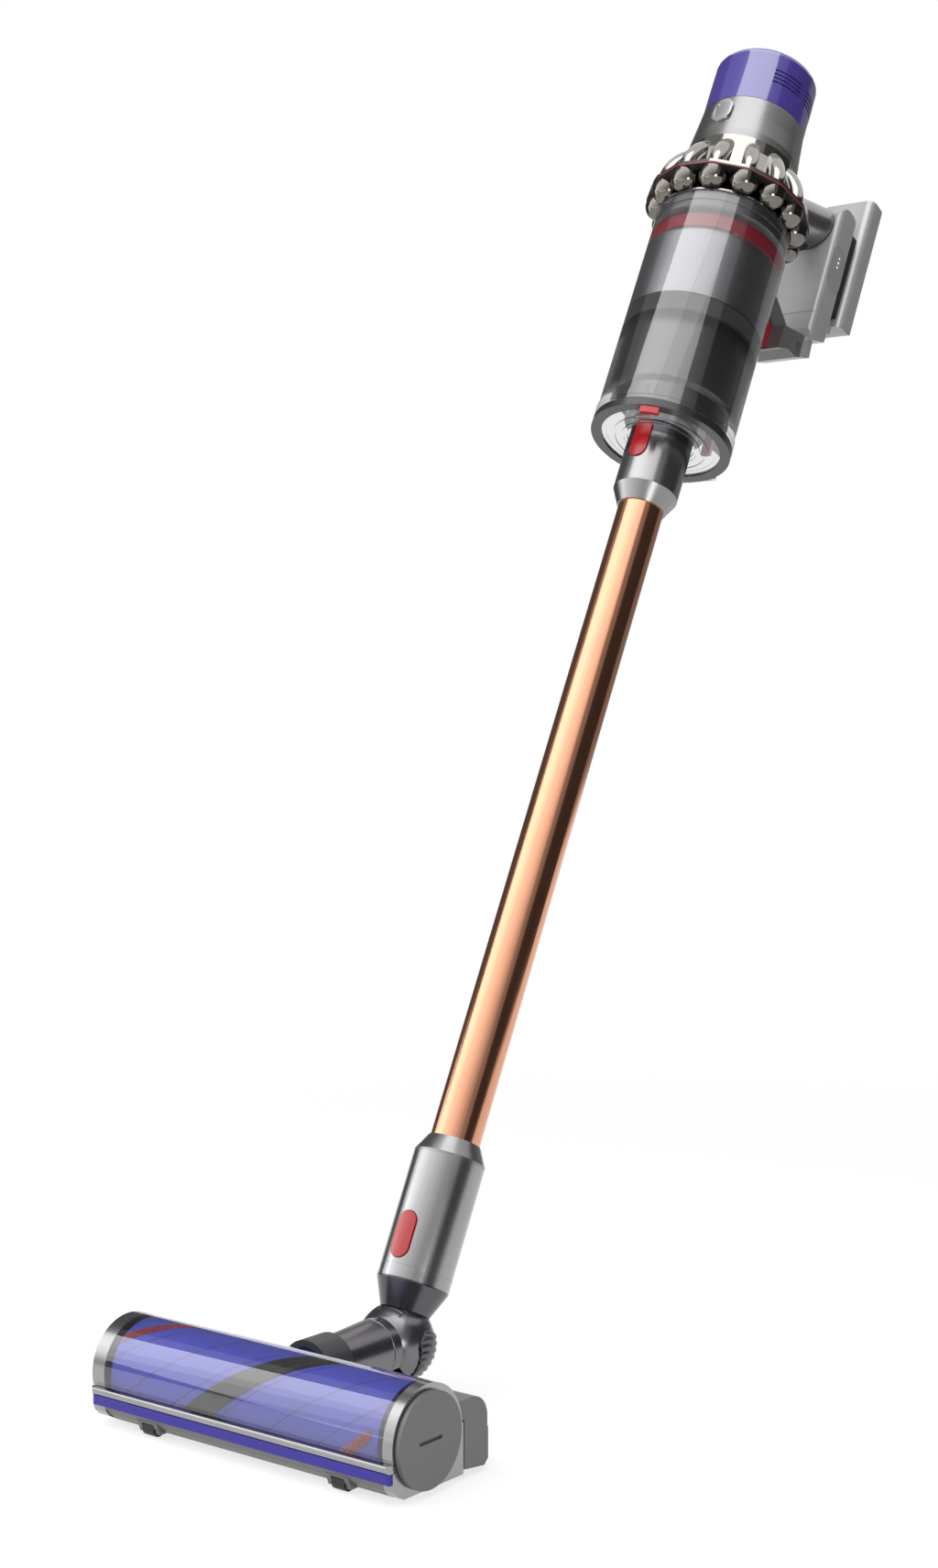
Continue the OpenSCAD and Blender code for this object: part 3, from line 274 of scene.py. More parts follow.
# %% [markdown]
# Moulded plastic is never quite flat. The steel mould is spark-eroded, which leaves a fine even grain, and the
# plastic's colour and gloss drift a little over a large part. The function below makes all opaque finishes. Its
# masks, most of them in the machine's own millimetres, let one moulding carry a second colour: where the real one
# does on the swivel boss, as painted shade on the handle, the grip and the gasket, and as a painted highlight on the
# bristle tips.


# %% Moulded and painted plastics
def in_machine(tree, place):
    """Object coordinates turned into the machine's own millimetres."""
    turn = Matrix.Rotation(LEAN, 3, "X")
    return add(tree, "ShaderNodeMapping", {"Vector": place, "Rotation": (LEAN, 0, 0), "Scale": (1000, 1000, 1000),
                                           "Location": turn @ PIVOT * -1000})


def band(tree, value, low, high, soft):
    """1 between low and high with soft edges, else 0."""
    up = add(tree, "ShaderNodeMapRange", {"Value": value, "From Min": low - soft, "From Max": low + soft})
    down = add(tree, "ShaderNodeMapRange", {"Value": value, "From Min": high + soft, "From Max": high - soft})
    return add(tree, "ShaderNodeMath", {0: up, 1: down}, operation="MULTIPLY")


def flat_length(tree, a, b):
    """The length of a flat vector, from its two parts."""
    first = add(tree, "ShaderNodeMath", {0: a, 1: a}, operation="MULTIPLY")
    second = add(tree, "ShaderNodeMath", {0: b, 1: b}, operation="MULTIPLY")
    square = add(tree, "ShaderNodeMath", {0: first, 1: second}, operation="ADD")
    return add(tree, "ShaderNodeMath", {0: square}, operation="SQRT")


def surface(name, base, rough, metallic=0.0, grain=0.6, depth=0.02, drift=0.05, coat=0.0, coat_rough=0.1,
            coat_ior=1.5, sheen=0.0, stretch=(1, 1, 1), tilt=0.0, second=None, mask=None, pattern=None):
    """A rigid surface. grain is the size of its grain and depth that of its bumps, in mm, and drift is how far its
    colour wanders. second is the colour where mask(tree, place) is 1. pattern(tree, place) returns how bright and
    how high the surface is, for a fine repeated relief whose hollows are painted darker as shade."""
    material, tree = new_material(name)
    place = add(tree, "ShaderNodeTexCoord").outputs["Object"]
    along = add(tree, "ShaderNodeMapping", {"Vector": place, "Rotation": (tilt, 0, 0), "Scale": stretch})
    fine = add(tree, "ShaderNodeTexNoise", {"Vector": along, "Scale": 1000 / grain, "Detail": 2.0}).outputs["Fac"]
    slow = add(tree, "ShaderNodeTexNoise", {"Vector": place, "Scale": 22.0, "Detail": 3.0}).outputs["Fac"]
    spread = {"From Min": 0.3, "From Max": 0.7}
    shade = add(tree, "ShaderNodeMapRange", {"Value": slow, **spread, "To Min": 1 - drift, "To Max": 1 + drift})
    speck = add(tree, "ShaderNodeMapRange", {"Value": fine, **spread, "To Min": 1 - drift / 2,
                                             "To Max": 1 + drift / 2})
    factor = add(tree, "ShaderNodeMath", {0: shade, 1: speck}, operation="MULTIPLY")
    paint = colour(base)[:3]
    if mask:
        paint = add(tree, "ShaderNodeMix", {"Factor": mask(tree, place), "A": colour(base), "B": colour(second)},
                    data_type="RGBA").outputs[2]
    height = fine
    if pattern:
        share, relief = pattern(tree, place)
        factor = add(tree, "ShaderNodeMath", {0: factor, 1: share}, operation="MULTIPLY")
        height = add(tree, "ShaderNodeMath", {0: height, 1: relief}, operation="ADD")
    tint = add(tree, "ShaderNodeVectorMath", {0: paint, "Scale": factor}, operation="SCALE")
    gloss = add(tree, "ShaderNodeMapRange", {"Value": slow, **spread, "To Min": rough * 0.88,
                                             "To Max": min(1, rough * 1.12)})
    bump = add(tree, "ShaderNodeBump", {"Height": height, "Distance": depth * MM, "Strength": 1.0})
    body = add(tree, "ShaderNodeBsdfPrincipled", {
        "Base Color": tint, "Metallic": metallic, "Roughness": gloss, "IOR": 1.5, "Coat Weight": coat,
        "Coat Roughness": coat_rough, "Coat IOR": coat_ior, "Normal": bump, "Sheen Weight": sheen})
    add(tree, "ShaderNodeOutputMaterial", {"Surface": body})
    return material


# Places on the mouldings in the machine's own millimetres, from front to back or up from the elbow
GROOVE_BACK = (145.2, 160.0)
RAIL_BACK = (20.0, 117.9)
GRIP_GAP_BACK = (116.4, 130.0)
FLANGE_UNDER = 915.0
EDGE = 0.1


def groove_and_rail_shade(tree, place):
    """1 in the groove between block and battery plate, two thirds on the rail and strut towards the bin: painted
    shade.
    """
    back = add(tree, "ShaderNodeSeparateXYZ", {0: in_machine(tree, place)}).outputs["Y"]
    rail = add(tree, "ShaderNodeMath", {0: band(tree, back, *RAIL_BACK, EDGE), 1: 0.66}, operation="MULTIPLY")
    return add(tree, "ShaderNodeMath", {0: band(tree, back, *GROOVE_BACK, EDGE), 1: rail}, operation="ADD")


def swivel_boss(tree, place):
    """1 on the round boss that holds the swivelling neck: within 26 mm of its axis, from 89 mm in front of the
    elbow to the back."""
    axes = add(tree, "ShaderNodeSeparateXYZ", {0: place}).outputs
    up = add(tree, "ShaderNodeMath", {0: axes["Z"], 1: PIVOT.z}, operation="SUBTRACT")
    near = add(tree, "ShaderNodeMapRange", {"Value": flat_length(tree, up, axes["X"]), "From Min": 0.0262,
                                            "From Max": 0.0260})
    behind = add(tree, "ShaderNodeMapRange", {"Value": axes["Y"], "From Min": PIVOT.y - 0.0895,
                                              "From Max": PIVOT.y - 0.0885})
    return add(tree, "ShaderNodeMath", {0: near, 1: behind}, operation="MULTIPLY")


def flange_underside_shade(tree, place):
    """1 on the underside of the flange, darkened as painted shade, 0 from its edge up."""
    up = add(tree, "ShaderNodeSeparateXYZ", {0: in_machine(tree, place)}).outputs["Z"]
    return add(tree, "ShaderNodeMapRange", {"Value": up, "From Min": FLANGE_UNDER + EDGE, "From Max": FLANGE_UNDER})


def bristle_tip_highlight(tree, place):
    """0 up to 27.2 mm from the roller's axis and 1 from 28.4 mm: a pale painted highlight on the bristles' tips."""
    axes = add(tree, "ShaderNodeSeparateXYZ", {0: place}).outputs
    up = add(tree, "ShaderNodeMath", {0: axes["Z"], 1: ROLLER.z}, operation="SUBTRACT")
    back = add(tree, "ShaderNodeMath", {0: axes["Y"], 1: ROLLER.y}, operation="SUBTRACT")
    return add(tree, "ShaderNodeMapRange", {"Value": flat_length(tree, up, back), "From Min": 0.0272,
                                            "From Max": 0.0284})


def grip_end(tree, place):
    """1 in the dark shadow gap where the grip meets the handle's block."""
    back = add(tree, "ShaderNodeSeparateXYZ", {0: in_machine(tree, place)}).outputs["Y"]
    return band(tree, back, *GRIP_GAP_BACK, EDGE)


M = {}
# ABS from a spark-eroded mould, metallic pigment in the plastic: a low even sheen
M["abs_grey"] = surface("textured_grey_abs", "#929192", 0.27, metallic=0.92, grain=0.5, depth=0.008)
M["abs_matt"] = surface("matt_grey_abs", "#787878", 0.42, metallic=0.3, grain=0.5, depth=0.015)
M["abs_shell"] = surface("matt_grey_shell_abs", "#787878", 0.42, metallic=0.3, grain=0.5, depth=0.015,
                         second="#46464a", mask=swivel_boss)
M["abs_neck"] = surface("satin_grey_neck_abs", "#77767a", 0.25, metallic=0.9, grain=0.5, depth=0.008)
M["abs_grip"] = surface("satin_grey_grip_abs", "#8d8c8e", 0.26, metallic=0.9, grain=0.5, depth=0.008,
                        second="#1c1c1e", mask=grip_end)
# The handle's dark second colour is painted shade, in its groove and on its rail and strut
M["abs_handle"] = surface("silver_grey_handle_abs", "#bababa", 0.34, metallic=0.3, grain=0.5, depth=0.01,
                          second="#29292b", mask=groove_and_rail_shade)
M["abs_dark"] = surface("textured_dark_abs", "#5e5d62", 0.24, metallic=0.9, grain=0.5, depth=0.008)
M["abs_duct"] = surface("dark_grey_duct_abs", "#626264", 0.3, metallic=0.85, grain=0.5, depth=0.008)
M["abs_black"] = surface("plain_black_abs", "#1d1d1f", 0.45, grain=0.6, depth=0.02)
# ABS under metallic paint: tiny aluminium flakes below a clear lacquer
M["paint_silver"] = surface("metallic_painted_abs", "#9d9c9d", 0.22, metallic=0.95, grain=0.35, depth=0.005,
                            coat=0.2, coat_rough=0.12)
M["paint_light"] = surface("light_metallic_paint", "#bcbcbc", 0.34, metallic=0.35, grain=0.35, depth=0.006,
                           coat=0.2, coat_rough=0.2)
M["badge"] = surface("bright_silver_badge", "#c8c8ca", 0.25, metallic=0.9, grain=0.35, depth=0.005)
# Metallised plastic of the cyclones, close to a mirror. The cones take a darker copy of it, which is painted shade;
# the crown and its ring take the brighter one
M["shaded_nickel"] = surface("shaded_nickel_plated_abs", "#77736d", 0.08, metallic=1.0, grain=1.2, depth=0.002,
                           drift=0.03)
M["nickel"] = surface("bright_nickel_plated_abs", "#a8a5a0", 0.09, metallic=1.0, grain=1.2, depth=0.002, drift=0.03)
# Polycarbonate of the filter cap, coloured through, with a glossy skin over its satin body
M["violet"] = surface("satin_violet_polycarbonate", "#402f93", 0.34, grain=0.6, depth=0.006, coat=1.0,
                      coat_rough=0.05, coat_ior=2.0)
M["violet_felt"] = surface("violet_seal_strip", "#3b31a0", 0.5, grain=0.5, depth=0.03)
M["red"] = surface("glossy_red_abs", "#b3121d", 0.26, grain=0.8, depth=0.008, coat=0.4, coat_rough=0.12)
M["deep_red"] = surface("deep_red_abs", "#8c1428", 0.32, grain=0.8, depth=0.008)
# Rubbers: soft to touch and dull, apart from the seals, which are pressed smooth. The boot has a metallic sheen
# The gasket's dark underside is painted shade
M["gasket"] = surface("dull_red_gasket", "#8a3036", 0.45, grain=0.8, depth=0.01, second="#2b2827", mask=flange_underside_shade)
M["rubber"] = surface("matt_black_rubber", "#1f1f22", 0.5, grain=0.9, depth=0.03, drift=0.12)
M["seal"] = surface("glossy_seal_rubber", "#27292c", 0.28, grain=0.9, depth=0.01, drift=0.1, coat=0.5,
                    coat_rough=0.12)
M["boot"] = surface("satin_grey_elastomer", "#5c5b5f", 0.3, metallic=0.75, grain=0.6, depth=0.012, drift=0.08)
# Anodised aluminium tube: drawn, so its fine lines run along the wand
M["copper"] = surface("anodised_copper_aluminium", "#dfa081", 0.16, metallic=1.0, grain=0.5, depth=0.003, drift=0.03,
                      stretch=(1, 1, 0.02), tilt=LEAN)
M["steel"] = surface("turned_steel", "#a9abad", 0.28, metallic=1.0, grain=0.4, depth=0.004)
M["smoke"] = surface("grey_light_window", "#a2a2a2", 0.24, grain=1.5, depth=0.002, coat=0.5, coat_rough=0.05)
M["paper"] = surface("filter_paper", "#e9e7e0", 0.9, grain=0.4, depth=0.05, drift=0.1)
print("opaque finishes:", len(M))

# %% [markdown]
# Two finishes carry a fine repeated relief. The shroud's sheet is etched with round holes about half a millimetre
# wide in staggered rows, and the roller's felt has narrow helical grooves where its cover is wound on. Both are
# also painted darker in the holes and grooves, as shade.

# %% Etched mesh and wound felt
HOLES_ROUND = 228
HOLE_ROWS = 0.95


def etched_holes_and_shade(tree, place):
    """Staggered rows of round holes, 1.1 mm apart, on the cylinder round the machine's axis. The holes are sunk by
    the bump and darkened with painted shade.
    """
    axes = add(tree, "ShaderNodeSeparateXYZ", {0: in_machine(tree, place)}).outputs
    turn = add(tree, "ShaderNodeMath", {0: axes["Y"], 1: axes["X"]}, operation="ARCTAN2")
    u = add(tree, "ShaderNodeMath", {0: turn, 1: HOLES_ROUND / (2 * math.pi)}, operation="MULTIPLY")
    v = add(tree, "ShaderNodeMath", {0: axes["Z"], 1: HOLE_ROWS}, operation="DIVIDE")
    row = add(tree, "ShaderNodeMath", {0: v}, operation="FLOOR")
    odd = add(tree, "ShaderNodeMath", {0: row, 1: 2.0}, operation="MODULO")
    half = add(tree, "ShaderNodeMath", {0: odd, 1: 0.5}, operation="MULTIPLY")
    staggered = add(tree, "ShaderNodeMath", {0: u, 1: half}, operation="ADD")
    positive = add(tree, "ShaderNodeMath", {0: staggered, 1: 500}, operation="ADD")
    column_part = add(tree, "ShaderNodeMath", {0: positive}, operation="FRACT")
    row_part = add(tree, "ShaderNodeMath", {0: v}, operation="FRACT")
    du = add(tree, "ShaderNodeMath", {0: column_part, 1: 0.5}, operation="SUBTRACT")
    dv = add(tree, "ShaderNodeMath", {0: row_part, 1: 0.5}, operation="SUBTRACT")
    solid = add(tree, "ShaderNodeMapRange", {"Value": flat_length(tree, du, dv), "From Min": 0.24, "From Max": 0.34,
                                             "To Min": 0.30})
    return solid, add(tree, "ShaderNodeMath", {0: solid, 1: 0.7}, operation="MULTIPLY")


# The strips turn so many degrees over their length in mm, from the left end's x
STRIP_TURN = 321
STRIP_LENGTH = 218
STRIP_RATE = STRIP_TURN / STRIP_LENGTH
STRIP_START = -112
GROOVES = 6
GROOVE_SHIFT = 100.36


def wound_grooves_and_shade(tree, place):
    """Helical grooves that run with the bristle strips, cut in by the bump and painted darker as shade. Their shift
    sets them between the strips.
    """
    axes = add(tree, "ShaderNodeSeparateXYZ", {0: place}).outputs
    up = add(tree, "ShaderNodeMath", {0: axes["Z"], 1: ROLLER.z}, operation="SUBTRACT")
    front = add(tree, "ShaderNodeMath", {0: ROLLER.y, 1: axes["Y"]}, operation="SUBTRACT")
    turn = add(tree, "ShaderNodeMath", {0: up, 1: front}, operation="ARCTAN2")
    degrees = add(tree, "ShaderNodeMath", {0: turn, 1: 180 / math.pi}, operation="MULTIPLY")
    wound = add(tree, "ShaderNodeMath", {0: axes["X"], 1: STRIP_RATE * 1000}, operation="MULTIPLY")
    unwound = add(tree, "ShaderNodeMath", {0: degrees, 1: wound}, operation="SUBTRACT")
    lap = add(tree, "ShaderNodeMath", {0: unwound, 1: 360 / GROOVES}, operation="DIVIDE")
    shifted = add(tree, "ShaderNodeMath", {0: lap, 1: GROOVE_SHIFT}, operation="ADD")
    part = add(tree, "ShaderNodeMath", {0: shifted}, operation="FRACT")
    centred = add(tree, "ShaderNodeMath", {0: part, 1: 0.5}, operation="SUBTRACT")
    off = add(tree, "ShaderNodeMath", {0: centred}, operation="ABSOLUTE")
    share = add(tree, "ShaderNodeMapRange", {"Value": off, "From Min": 0.008, "From Max": 0.03, "To Min": 0.42})
    return share, add(tree, "ShaderNodeMath", {0: share, 1: 6.0}, operation="MULTIPLY")


# The mesh's holes are painted dark, as shade
M["mesh"] = surface("etched_steel_mesh", "#a6a5aa", 0.33, metallic=0.97, grain=0.5, depth=0.012,
                    pattern=etched_holes_and_shade)
# The felt's grooves are painted darker, as shade
M["nylon_violet"] = surface("violet_nylon_felt", "#4348bd", 0.4, grain=0.4, depth=0.04, drift=0.08, sheen=0.1,
                            coat=0.2, coat_rough=0.3, pattern=wound_grooves_and_shade)
# The red bristles' pale tips are a painted highlight
M["bristle_red"] = surface("red_nylon_bristle", "#a81c2c", 0.42, grain=0.35, depth=0.05, drift=0.2, sheen=0.2,
                           second="#e2b3b0", mask=bristle_tip_highlight)
M["bristle_black"] = surface("carbon_fibre_filament", "#1a1a1d", 0.36, grain=0.3, depth=0.05, drift=0.3, sheen=0.1,
                             coat=0.2, coat_rough=0.3)
print("holes round the shroud:", HOLES_ROUND, "grooves:", GROOVES)

# %% [markdown]
# Clear polycarbonate is moulded with polished walls, so it refracts and mirrors crisply, and a coat with a high
# IOR makes those mirrorings strong enough to see. Lamps, soft light and what the pieces inside mirror pass it
# straight, or they would stand in the dark.


# %% Clear polycarbonate
def clear_plastic(name, tint, through):
    """Polished clear plastic. tint colours its body, and through the light that passes it straight."""
    material, tree = new_material(name)
    path = add(tree, "ShaderNodeLightPath").outputs
    place = add(tree, "ShaderNodeTexCoord").outputs["Object"]
    slow = add(tree, "ShaderNodeTexNoise", {"Vector": place, "Scale": 60.0, "Detail": 2.0}).outputs["Fac"]
    gloss = add(tree, "ShaderNodeMapRange", {"Value": slow, "To Min": 0.0, "To Max": 0.03})
    glass = add(tree, "ShaderNodeBsdfPrincipled", {"Base Color": colour(tint), "Roughness": gloss, "IOR": 1.585,
                                                   "Transmission Weight": 1.0, "Coat Weight": 0.6,
                                                   "Coat Roughness": 0.03, "Coat IOR": 1.9})
    window = add(tree, "ShaderNodeBsdfTransparent", {"Color": colour(through)})
    soft = add(tree, "ShaderNodeMath", {0: path["Is Shadow Ray"], 1: path["Is Diffuse Ray"]}, operation="MAXIMUM")
    straight = add(tree, "ShaderNodeMath", {0: soft, 1: path["Is Glossy Ray"]}, operation="MAXIMUM")
    mixed = add(tree, "ShaderNodeMixShader", {0: straight, 1: glass, 2: window})
    add(tree, "ShaderNodeOutputMaterial", {"Surface": mixed})
    return material


M["clear"] = clear_plastic("clear_polycarbonate", "#fbfcfd", "#f4f4f4")
print("finishes in all:", len(M))

# %% [markdown]
# Each CAD piece takes the finish of the material its real one is made of.

# %% Give every CAD piece its finish
FINISHES = {
    "abs_grey": "motor_housing wand_rings",
    "abs_duct": "inlet_duct cyclone_collar",
    "abs_matt": "end_cap sole_plate",
    "abs_shell": "head_shell",
    "abs_neck": "lower_neck",
    "abs_grip": "grip",
    "abs_handle": "handle_frame",
    "abs_dark": "upper_neck inlet_neck",
    "abs_black": "brush_motor motor_stator trigger shroud_skirt",
    "paint_silver": "front_bumper end_frame_left end_frame_right neck_cuff wand_lower_cuff wand_upper_cuff",
    "badge": "mode_slider",
    "paint_light": "battery_pack battery_cover",
    "nickel": "cyclone_ring cyclone_crown",
    "shaded_nickel": "cyclone_cones",
    "violet": "filter_cap",
    "violet_felt": "bumper_strip",
    "red": "lower_release upper_release base_catch bin_release",
    "deep_red": "shroud_band",
    "gasket": "cyclone_gasket",
    "seal": "flap_seal bin_top_seal",
    "rubber": "neck_bellows rear_rollers front_wheel_left front_wheel_right",
    "copper": "wand_tube",
    "steel": "steel_pins wheel_axles impeller lower_release_spring upper_release_spring trigger_spring "
             "frame_screws",
    "mesh": "shroud_mesh",
    "smoke": "led_window",
    "paper": "filter_pleats",
    "nylon_violet": "brush_core",
    "bristle_red": "bristles_red",
    "bristle_black": "bristles_black sole_felt",
    "clear": "clear_cover bin_tube bin_flap",
}


def dress(piece, material):
    """Puts one material in every slot of a piece."""
    piece.data.materials.clear()
    piece.data.materials.append(material)


for finish, names in FINISHES.items():
    for name in names.split():
        dress(nodes[name], M[finish])
bare = [n for n, o in nodes.items() if not o.data.materials]
print("pieces without a finish:", bare)

# %% [markdown]
# ## Bristles
# The two strips wind round the roller almost once in a long helix. Each is a low backing ribbon planted with
# filaments. A Geometry Nodes tree plants a tuft on every point, turned outwards, with a small random lean and
# length.


# %% A tuft and its planter
def new_piece(name, verts, faces, material):
    """A mesh piece whose points are given in metres in the frame."""
    mesh = bpy.data.meshes.new(name)
    mesh.from_pydata([tuple(v) for v in verts], [], faces)
    mesh.materials.append(material)
    made = bpy.data.objects.new(name, mesh)
    bpy.context.scene.collection.objects.link(made)
    return made


def tuft_mesh(name, count, length, thick, fan):
    """A bundle of tapered three-sided filaments along +Z, fanned out from one foot. Sizes in metres."""
    verts, faces = [], []
    for k in range(count):
        turn = 2.4 * k
        reach = fan * math.sqrt(k / count)
        lean = Vector((math.cos(turn), math.sin(turn), 0)) * reach
        first = len(verts)
        for share, radius in ((0.0, thick), (0.6, thick * 0.8)):
            foot = lean * share * length + Vector((0, 0, share * length)) + lean * 0.25 * length
            for i in range(3):
                a = turn + i * 2 * math.pi / 3
                verts.append(foot + Vector((math.cos(a), math.sin(a), 0)) * radius)
        verts.append(lean * 1.25 * length + Vector((0, 0, length)))
        for i in range(3):
            j = (i + 1) % 3
            faces.append((first + i, first + j, first + 3 + j, first + 3 + i))
            faces.append((first + 3 + i, first + 3 + j, first + 6))
        faces.append((first + 2, first + 1, first))
    mesh = bpy.data.meshes.new(name)
    mesh.from_pydata([tuple(v) for v in verts], [], faces)
    return bpy.data.objects.new(name, mesh)


def planter_tree():
    """Geometry Nodes: an instance on each point, turned to its 'outward' attribute, leaned and scaled at random."""
    group = bpy.data.node_groups.new("plant_tufts", "GeometryNodeTree")
    sockets = {}
    for label, kind in (("Geometry", "NodeSocketGeometry"), ("Tuft", "NodeSocketObject"),
                        ("Lean", "NodeSocketFloat"), ("Shortest", "NodeSocketFloat"), ("Seed", "NodeSocketInt"),
                        ("Finish", "NodeSocketMaterial")):
        sockets[label] = group.interface.new_socket(label, in_out="INPUT", socket_type=kind).identifier
    group.interface.new_socket("Geometry", in_out="OUTPUT", socket_type="NodeSocketGeometry")
    given = add(group, "NodeGroupInput").outputs
    outward = add(group, "GeometryNodeInputNamedAttribute", {"Name": "outward"}, data_type="FLOAT_VECTOR")
    facing = add(group, "FunctionNodeAlignRotationToVector", {"Vector": outward.outputs["Attribute"]}, axis="Z")
    less = add(group, "ShaderNodeMath", {0: given["Lean"], 1: -1.0}, operation="MULTIPLY")
    low = add(group, "ShaderNodeCombineXYZ", {0: less.outputs[0], 1: less.outputs[0], 2: 0.0})
    high = add(group, "ShaderNodeCombineXYZ", {0: given["Lean"], 1: given["Lean"], 2: 6.28})
    spread = add(group, "FunctionNodeRandomValue", {"Min": low.outputs[0], "Max": high.outputs[0],
                                                    "Seed": given["Seed"]}, data_type="FLOAT_VECTOR")
    sway = add(group, "FunctionNodeEulerToRotation", {0: spread.outputs[0]})
    turned = add(group, "FunctionNodeRotateRotation", {0: facing.outputs[0], 1: sway.outputs[0]},
                 rotation_space="LOCAL")
    size = add(group, "FunctionNodeRandomValue", {"Max": 1.0, "Seed": given["Seed"]}, data_type="FLOAT")
    group.links.new(given["Shortest"], size.inputs[2])
    shape = add(group, "GeometryNodeObjectInfo", {"Object": given["Tuft"]})
    points = add(group, "GeometryNodeMeshToPoints", {"Mesh": given["Geometry"]})
    planted = add(group, "GeometryNodeInstanceOnPoints", {
        "Points": points.outputs[0], "Instance": shape.outputs["Geometry"], "Rotation": turned.outputs[0],
        "Scale": size.outputs[1]})
    real = add(group, "GeometryNodeRealizeInstances", {0: planted.outputs[0]})
    painted = add(group, "GeometryNodeSetMaterial", {0: real.outputs[0], "Material": given["Finish"]})
    add(group, "NodeGroupOutput", {0: painted.outputs[0]})
    return group, sockets


PLANTER, PLANTER_IDS = planter_tree()


def plant(name, spots, tuft, lean, shortest, seed, finish):
    """A mesh of tufts on the given (point, outward) pairs, as plain mesh data."""
    mesh = bpy.data.meshes.new(name + "_spots")
    mesh.from_pydata([tuple(p) for p, _ in spots], [], [])
    outward = mesh.attributes.new("outward", "FLOAT_VECTOR", "POINT")
    outward.data.foreach_set("vector", [c for _, o in spots for c in o])
    seeds = bpy.data.objects.new(name + "_spots", mesh)
    bpy.context.scene.collection.objects.link(seeds)
    bpy.context.scene.collection.objects.link(tuft)
    modifier = seeds.modifiers.new("planter", "NODES")
    modifier.node_group = PLANTER
    for label, value in (("Tuft", tuft), ("Lean", lean), ("Shortest", shortest), ("Seed", seed), ("Finish", finish)):
        modifier[PLANTER_IDS[label]] = value
    depsgraph = bpy.context.evaluated_depsgraph_get()
    grown = bpy.data.meshes.new_from_object(seeds.evaluated_get(depsgraph))
    bpy.data.objects.remove(seeds)
    bpy.data.objects.remove(tuft)
    return grown


print("planter inputs:", list(PLANTER_IDS))


# %% Two bristle strips
ROLLER_RADIUS = 26
RIBBON_FOOT = 26.05
TUFT_FOOT = 26.2
RIBBON_STEPS = 150


def on_roller(x, angle, radius):
    """A point in the frame on the roller: x in mm, angle in degrees from the front over the top, radius in mm."""
    a = math.radians(angle)
    return Vector((x * MM, ROLLER.y - radius * MM * math.cos(a), ROLLER.z + radius * MM * math.sin(a)))


def strip_piece(name, start, width, rows, columns, tuft, lean, seed, finish, backing):
    """One helical strip: a backing ribbon and its planted tufts. start is its angle at the left end."""
    half = width / 2 / ROLLER_RADIUS * 180 / math.pi
    left, right = STRIP_START + 0.5, STRIP_START + STRIP_LENGTH - 0.5
    spots, verts, faces = [], [], []
    for i in range(rows):
        x = left + (right - left) * (i + 0.5) / rows
        centre = start + STRIP_RATE * (x - STRIP_START)
        for j in range(columns):
            # Rows are set off a quarter of a space to either side in turn, as woven tufts are
            angle = centre + half * ((j + 0.5 + 0.25 * (-1) ** i) / columns * 2 - 1) * 0.94
            spots.append((on_roller(x, angle, TUFT_FOOT), on_roller(x, angle, 1) - on_roller(x, angle, 0)))
    profile = [(-half, RIBBON_FOOT), (-half * 0.96, backing), (-half / 3, backing + 0.1), (half / 3, backing + 0.1),
               (half * 0.96, backing), (half, RIBBON_FOOT)]
    for i in range(RIBBON_STEPS + 1):
        x = left + (right - left) * i / RIBBON_STEPS
        centre = start + STRIP_RATE * (x - STRIP_START)
        verts += [on_roller(x, centre + a, r) for a, r in profile]
    n = len(profile)
    for i in range(RIBBON_STEPS):
        for k in range(n):
            a, b = i * n + k, i * n + (k + 1) % n
            faces.append((a, b, b + n, a + n))
    faces.append(tuple(range(n - 1, -1, -1)))
    faces.append(tuple(RIBBON_STEPS * n + k for k in range(n)))
    piece = new_piece(name, verts, faces, finish)
    hairs = plant(name, spots, tuft, lean, 0.86, seed, finish)
    joined = bmesh.new()
    joined.from_mesh(piece.data)
    bmesh.ops.recalc_face_normals(joined, faces=joined.faces)
    joined.from_mesh(hairs)
    joined.to_mesh(piece.data)
    joined.free()
    bpy.data.meshes.remove(hairs)
    return piece


red_strip = strip_piece("red_bristle_strip", 51.5, 7.0, 130, 5, tuft_mesh("red_tuft", 7, 2.5 * MM, 0.17 * MM, 0.22),
                        0.06, 3, M["bristle_red"], 26.5)
black_strip = strip_piece("carbon_bristle_strip", -128.5, 17.0, 240, 16,
                          tuft_mesh("carbon_tuft", 4, 2.0 * MM, 0.11 * MM, 0.28), 0.10, 7, M["bristle_black"], 27.2)
for piece, node in ((red_strip, "bristles_red"), (black_strip, "bristles_black")):
    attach(piece, "brush")
    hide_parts(node)
print("bristle faces:", len(red_strip.data.polygons), len(black_strip.data.polygons))

# %% [markdown]
# ## Elbow boot
# A ribbed rubber boot wraps the ball behind and below the wand, and a small smooth apron closes the slot in
# front. Both are soft. The boot is computed on a sphere: each direction gets a radius from its angle to a line
# that the pleats follow, and directions outside its outline are left out. Underneath it stops short of the neck
# tube.


# %% Elbow helpers
def elbow_point(angle, radius, x=0.0):
    """A point at an angle round the elbow, from the back over the top, in mm."""
    a = math.radians(angle)
    return PIVOT + Vector((x, radius * math.cos(a), radius * math.sin(a))) * MM


def pointing(x, y, z):
    """A direction from the elbow."""
    return Vector((x, y, z)).normalized()


def clean(piece, smooth=True):
    """Merges a mesh's doubled points and turns its faces outwards."""
    shape = bmesh.new()
    shape.from_mesh(piece.data)
    bmesh.ops.remove_doubles(shape, verts=shape.verts, dist=1e-7)
    bmesh.ops.recalc_face_normals(shape, faces=shape.faces)
    for face in shape.faces:
        face.smooth = smooth
    shape.to_mesh(piece.data)
    shape.free()


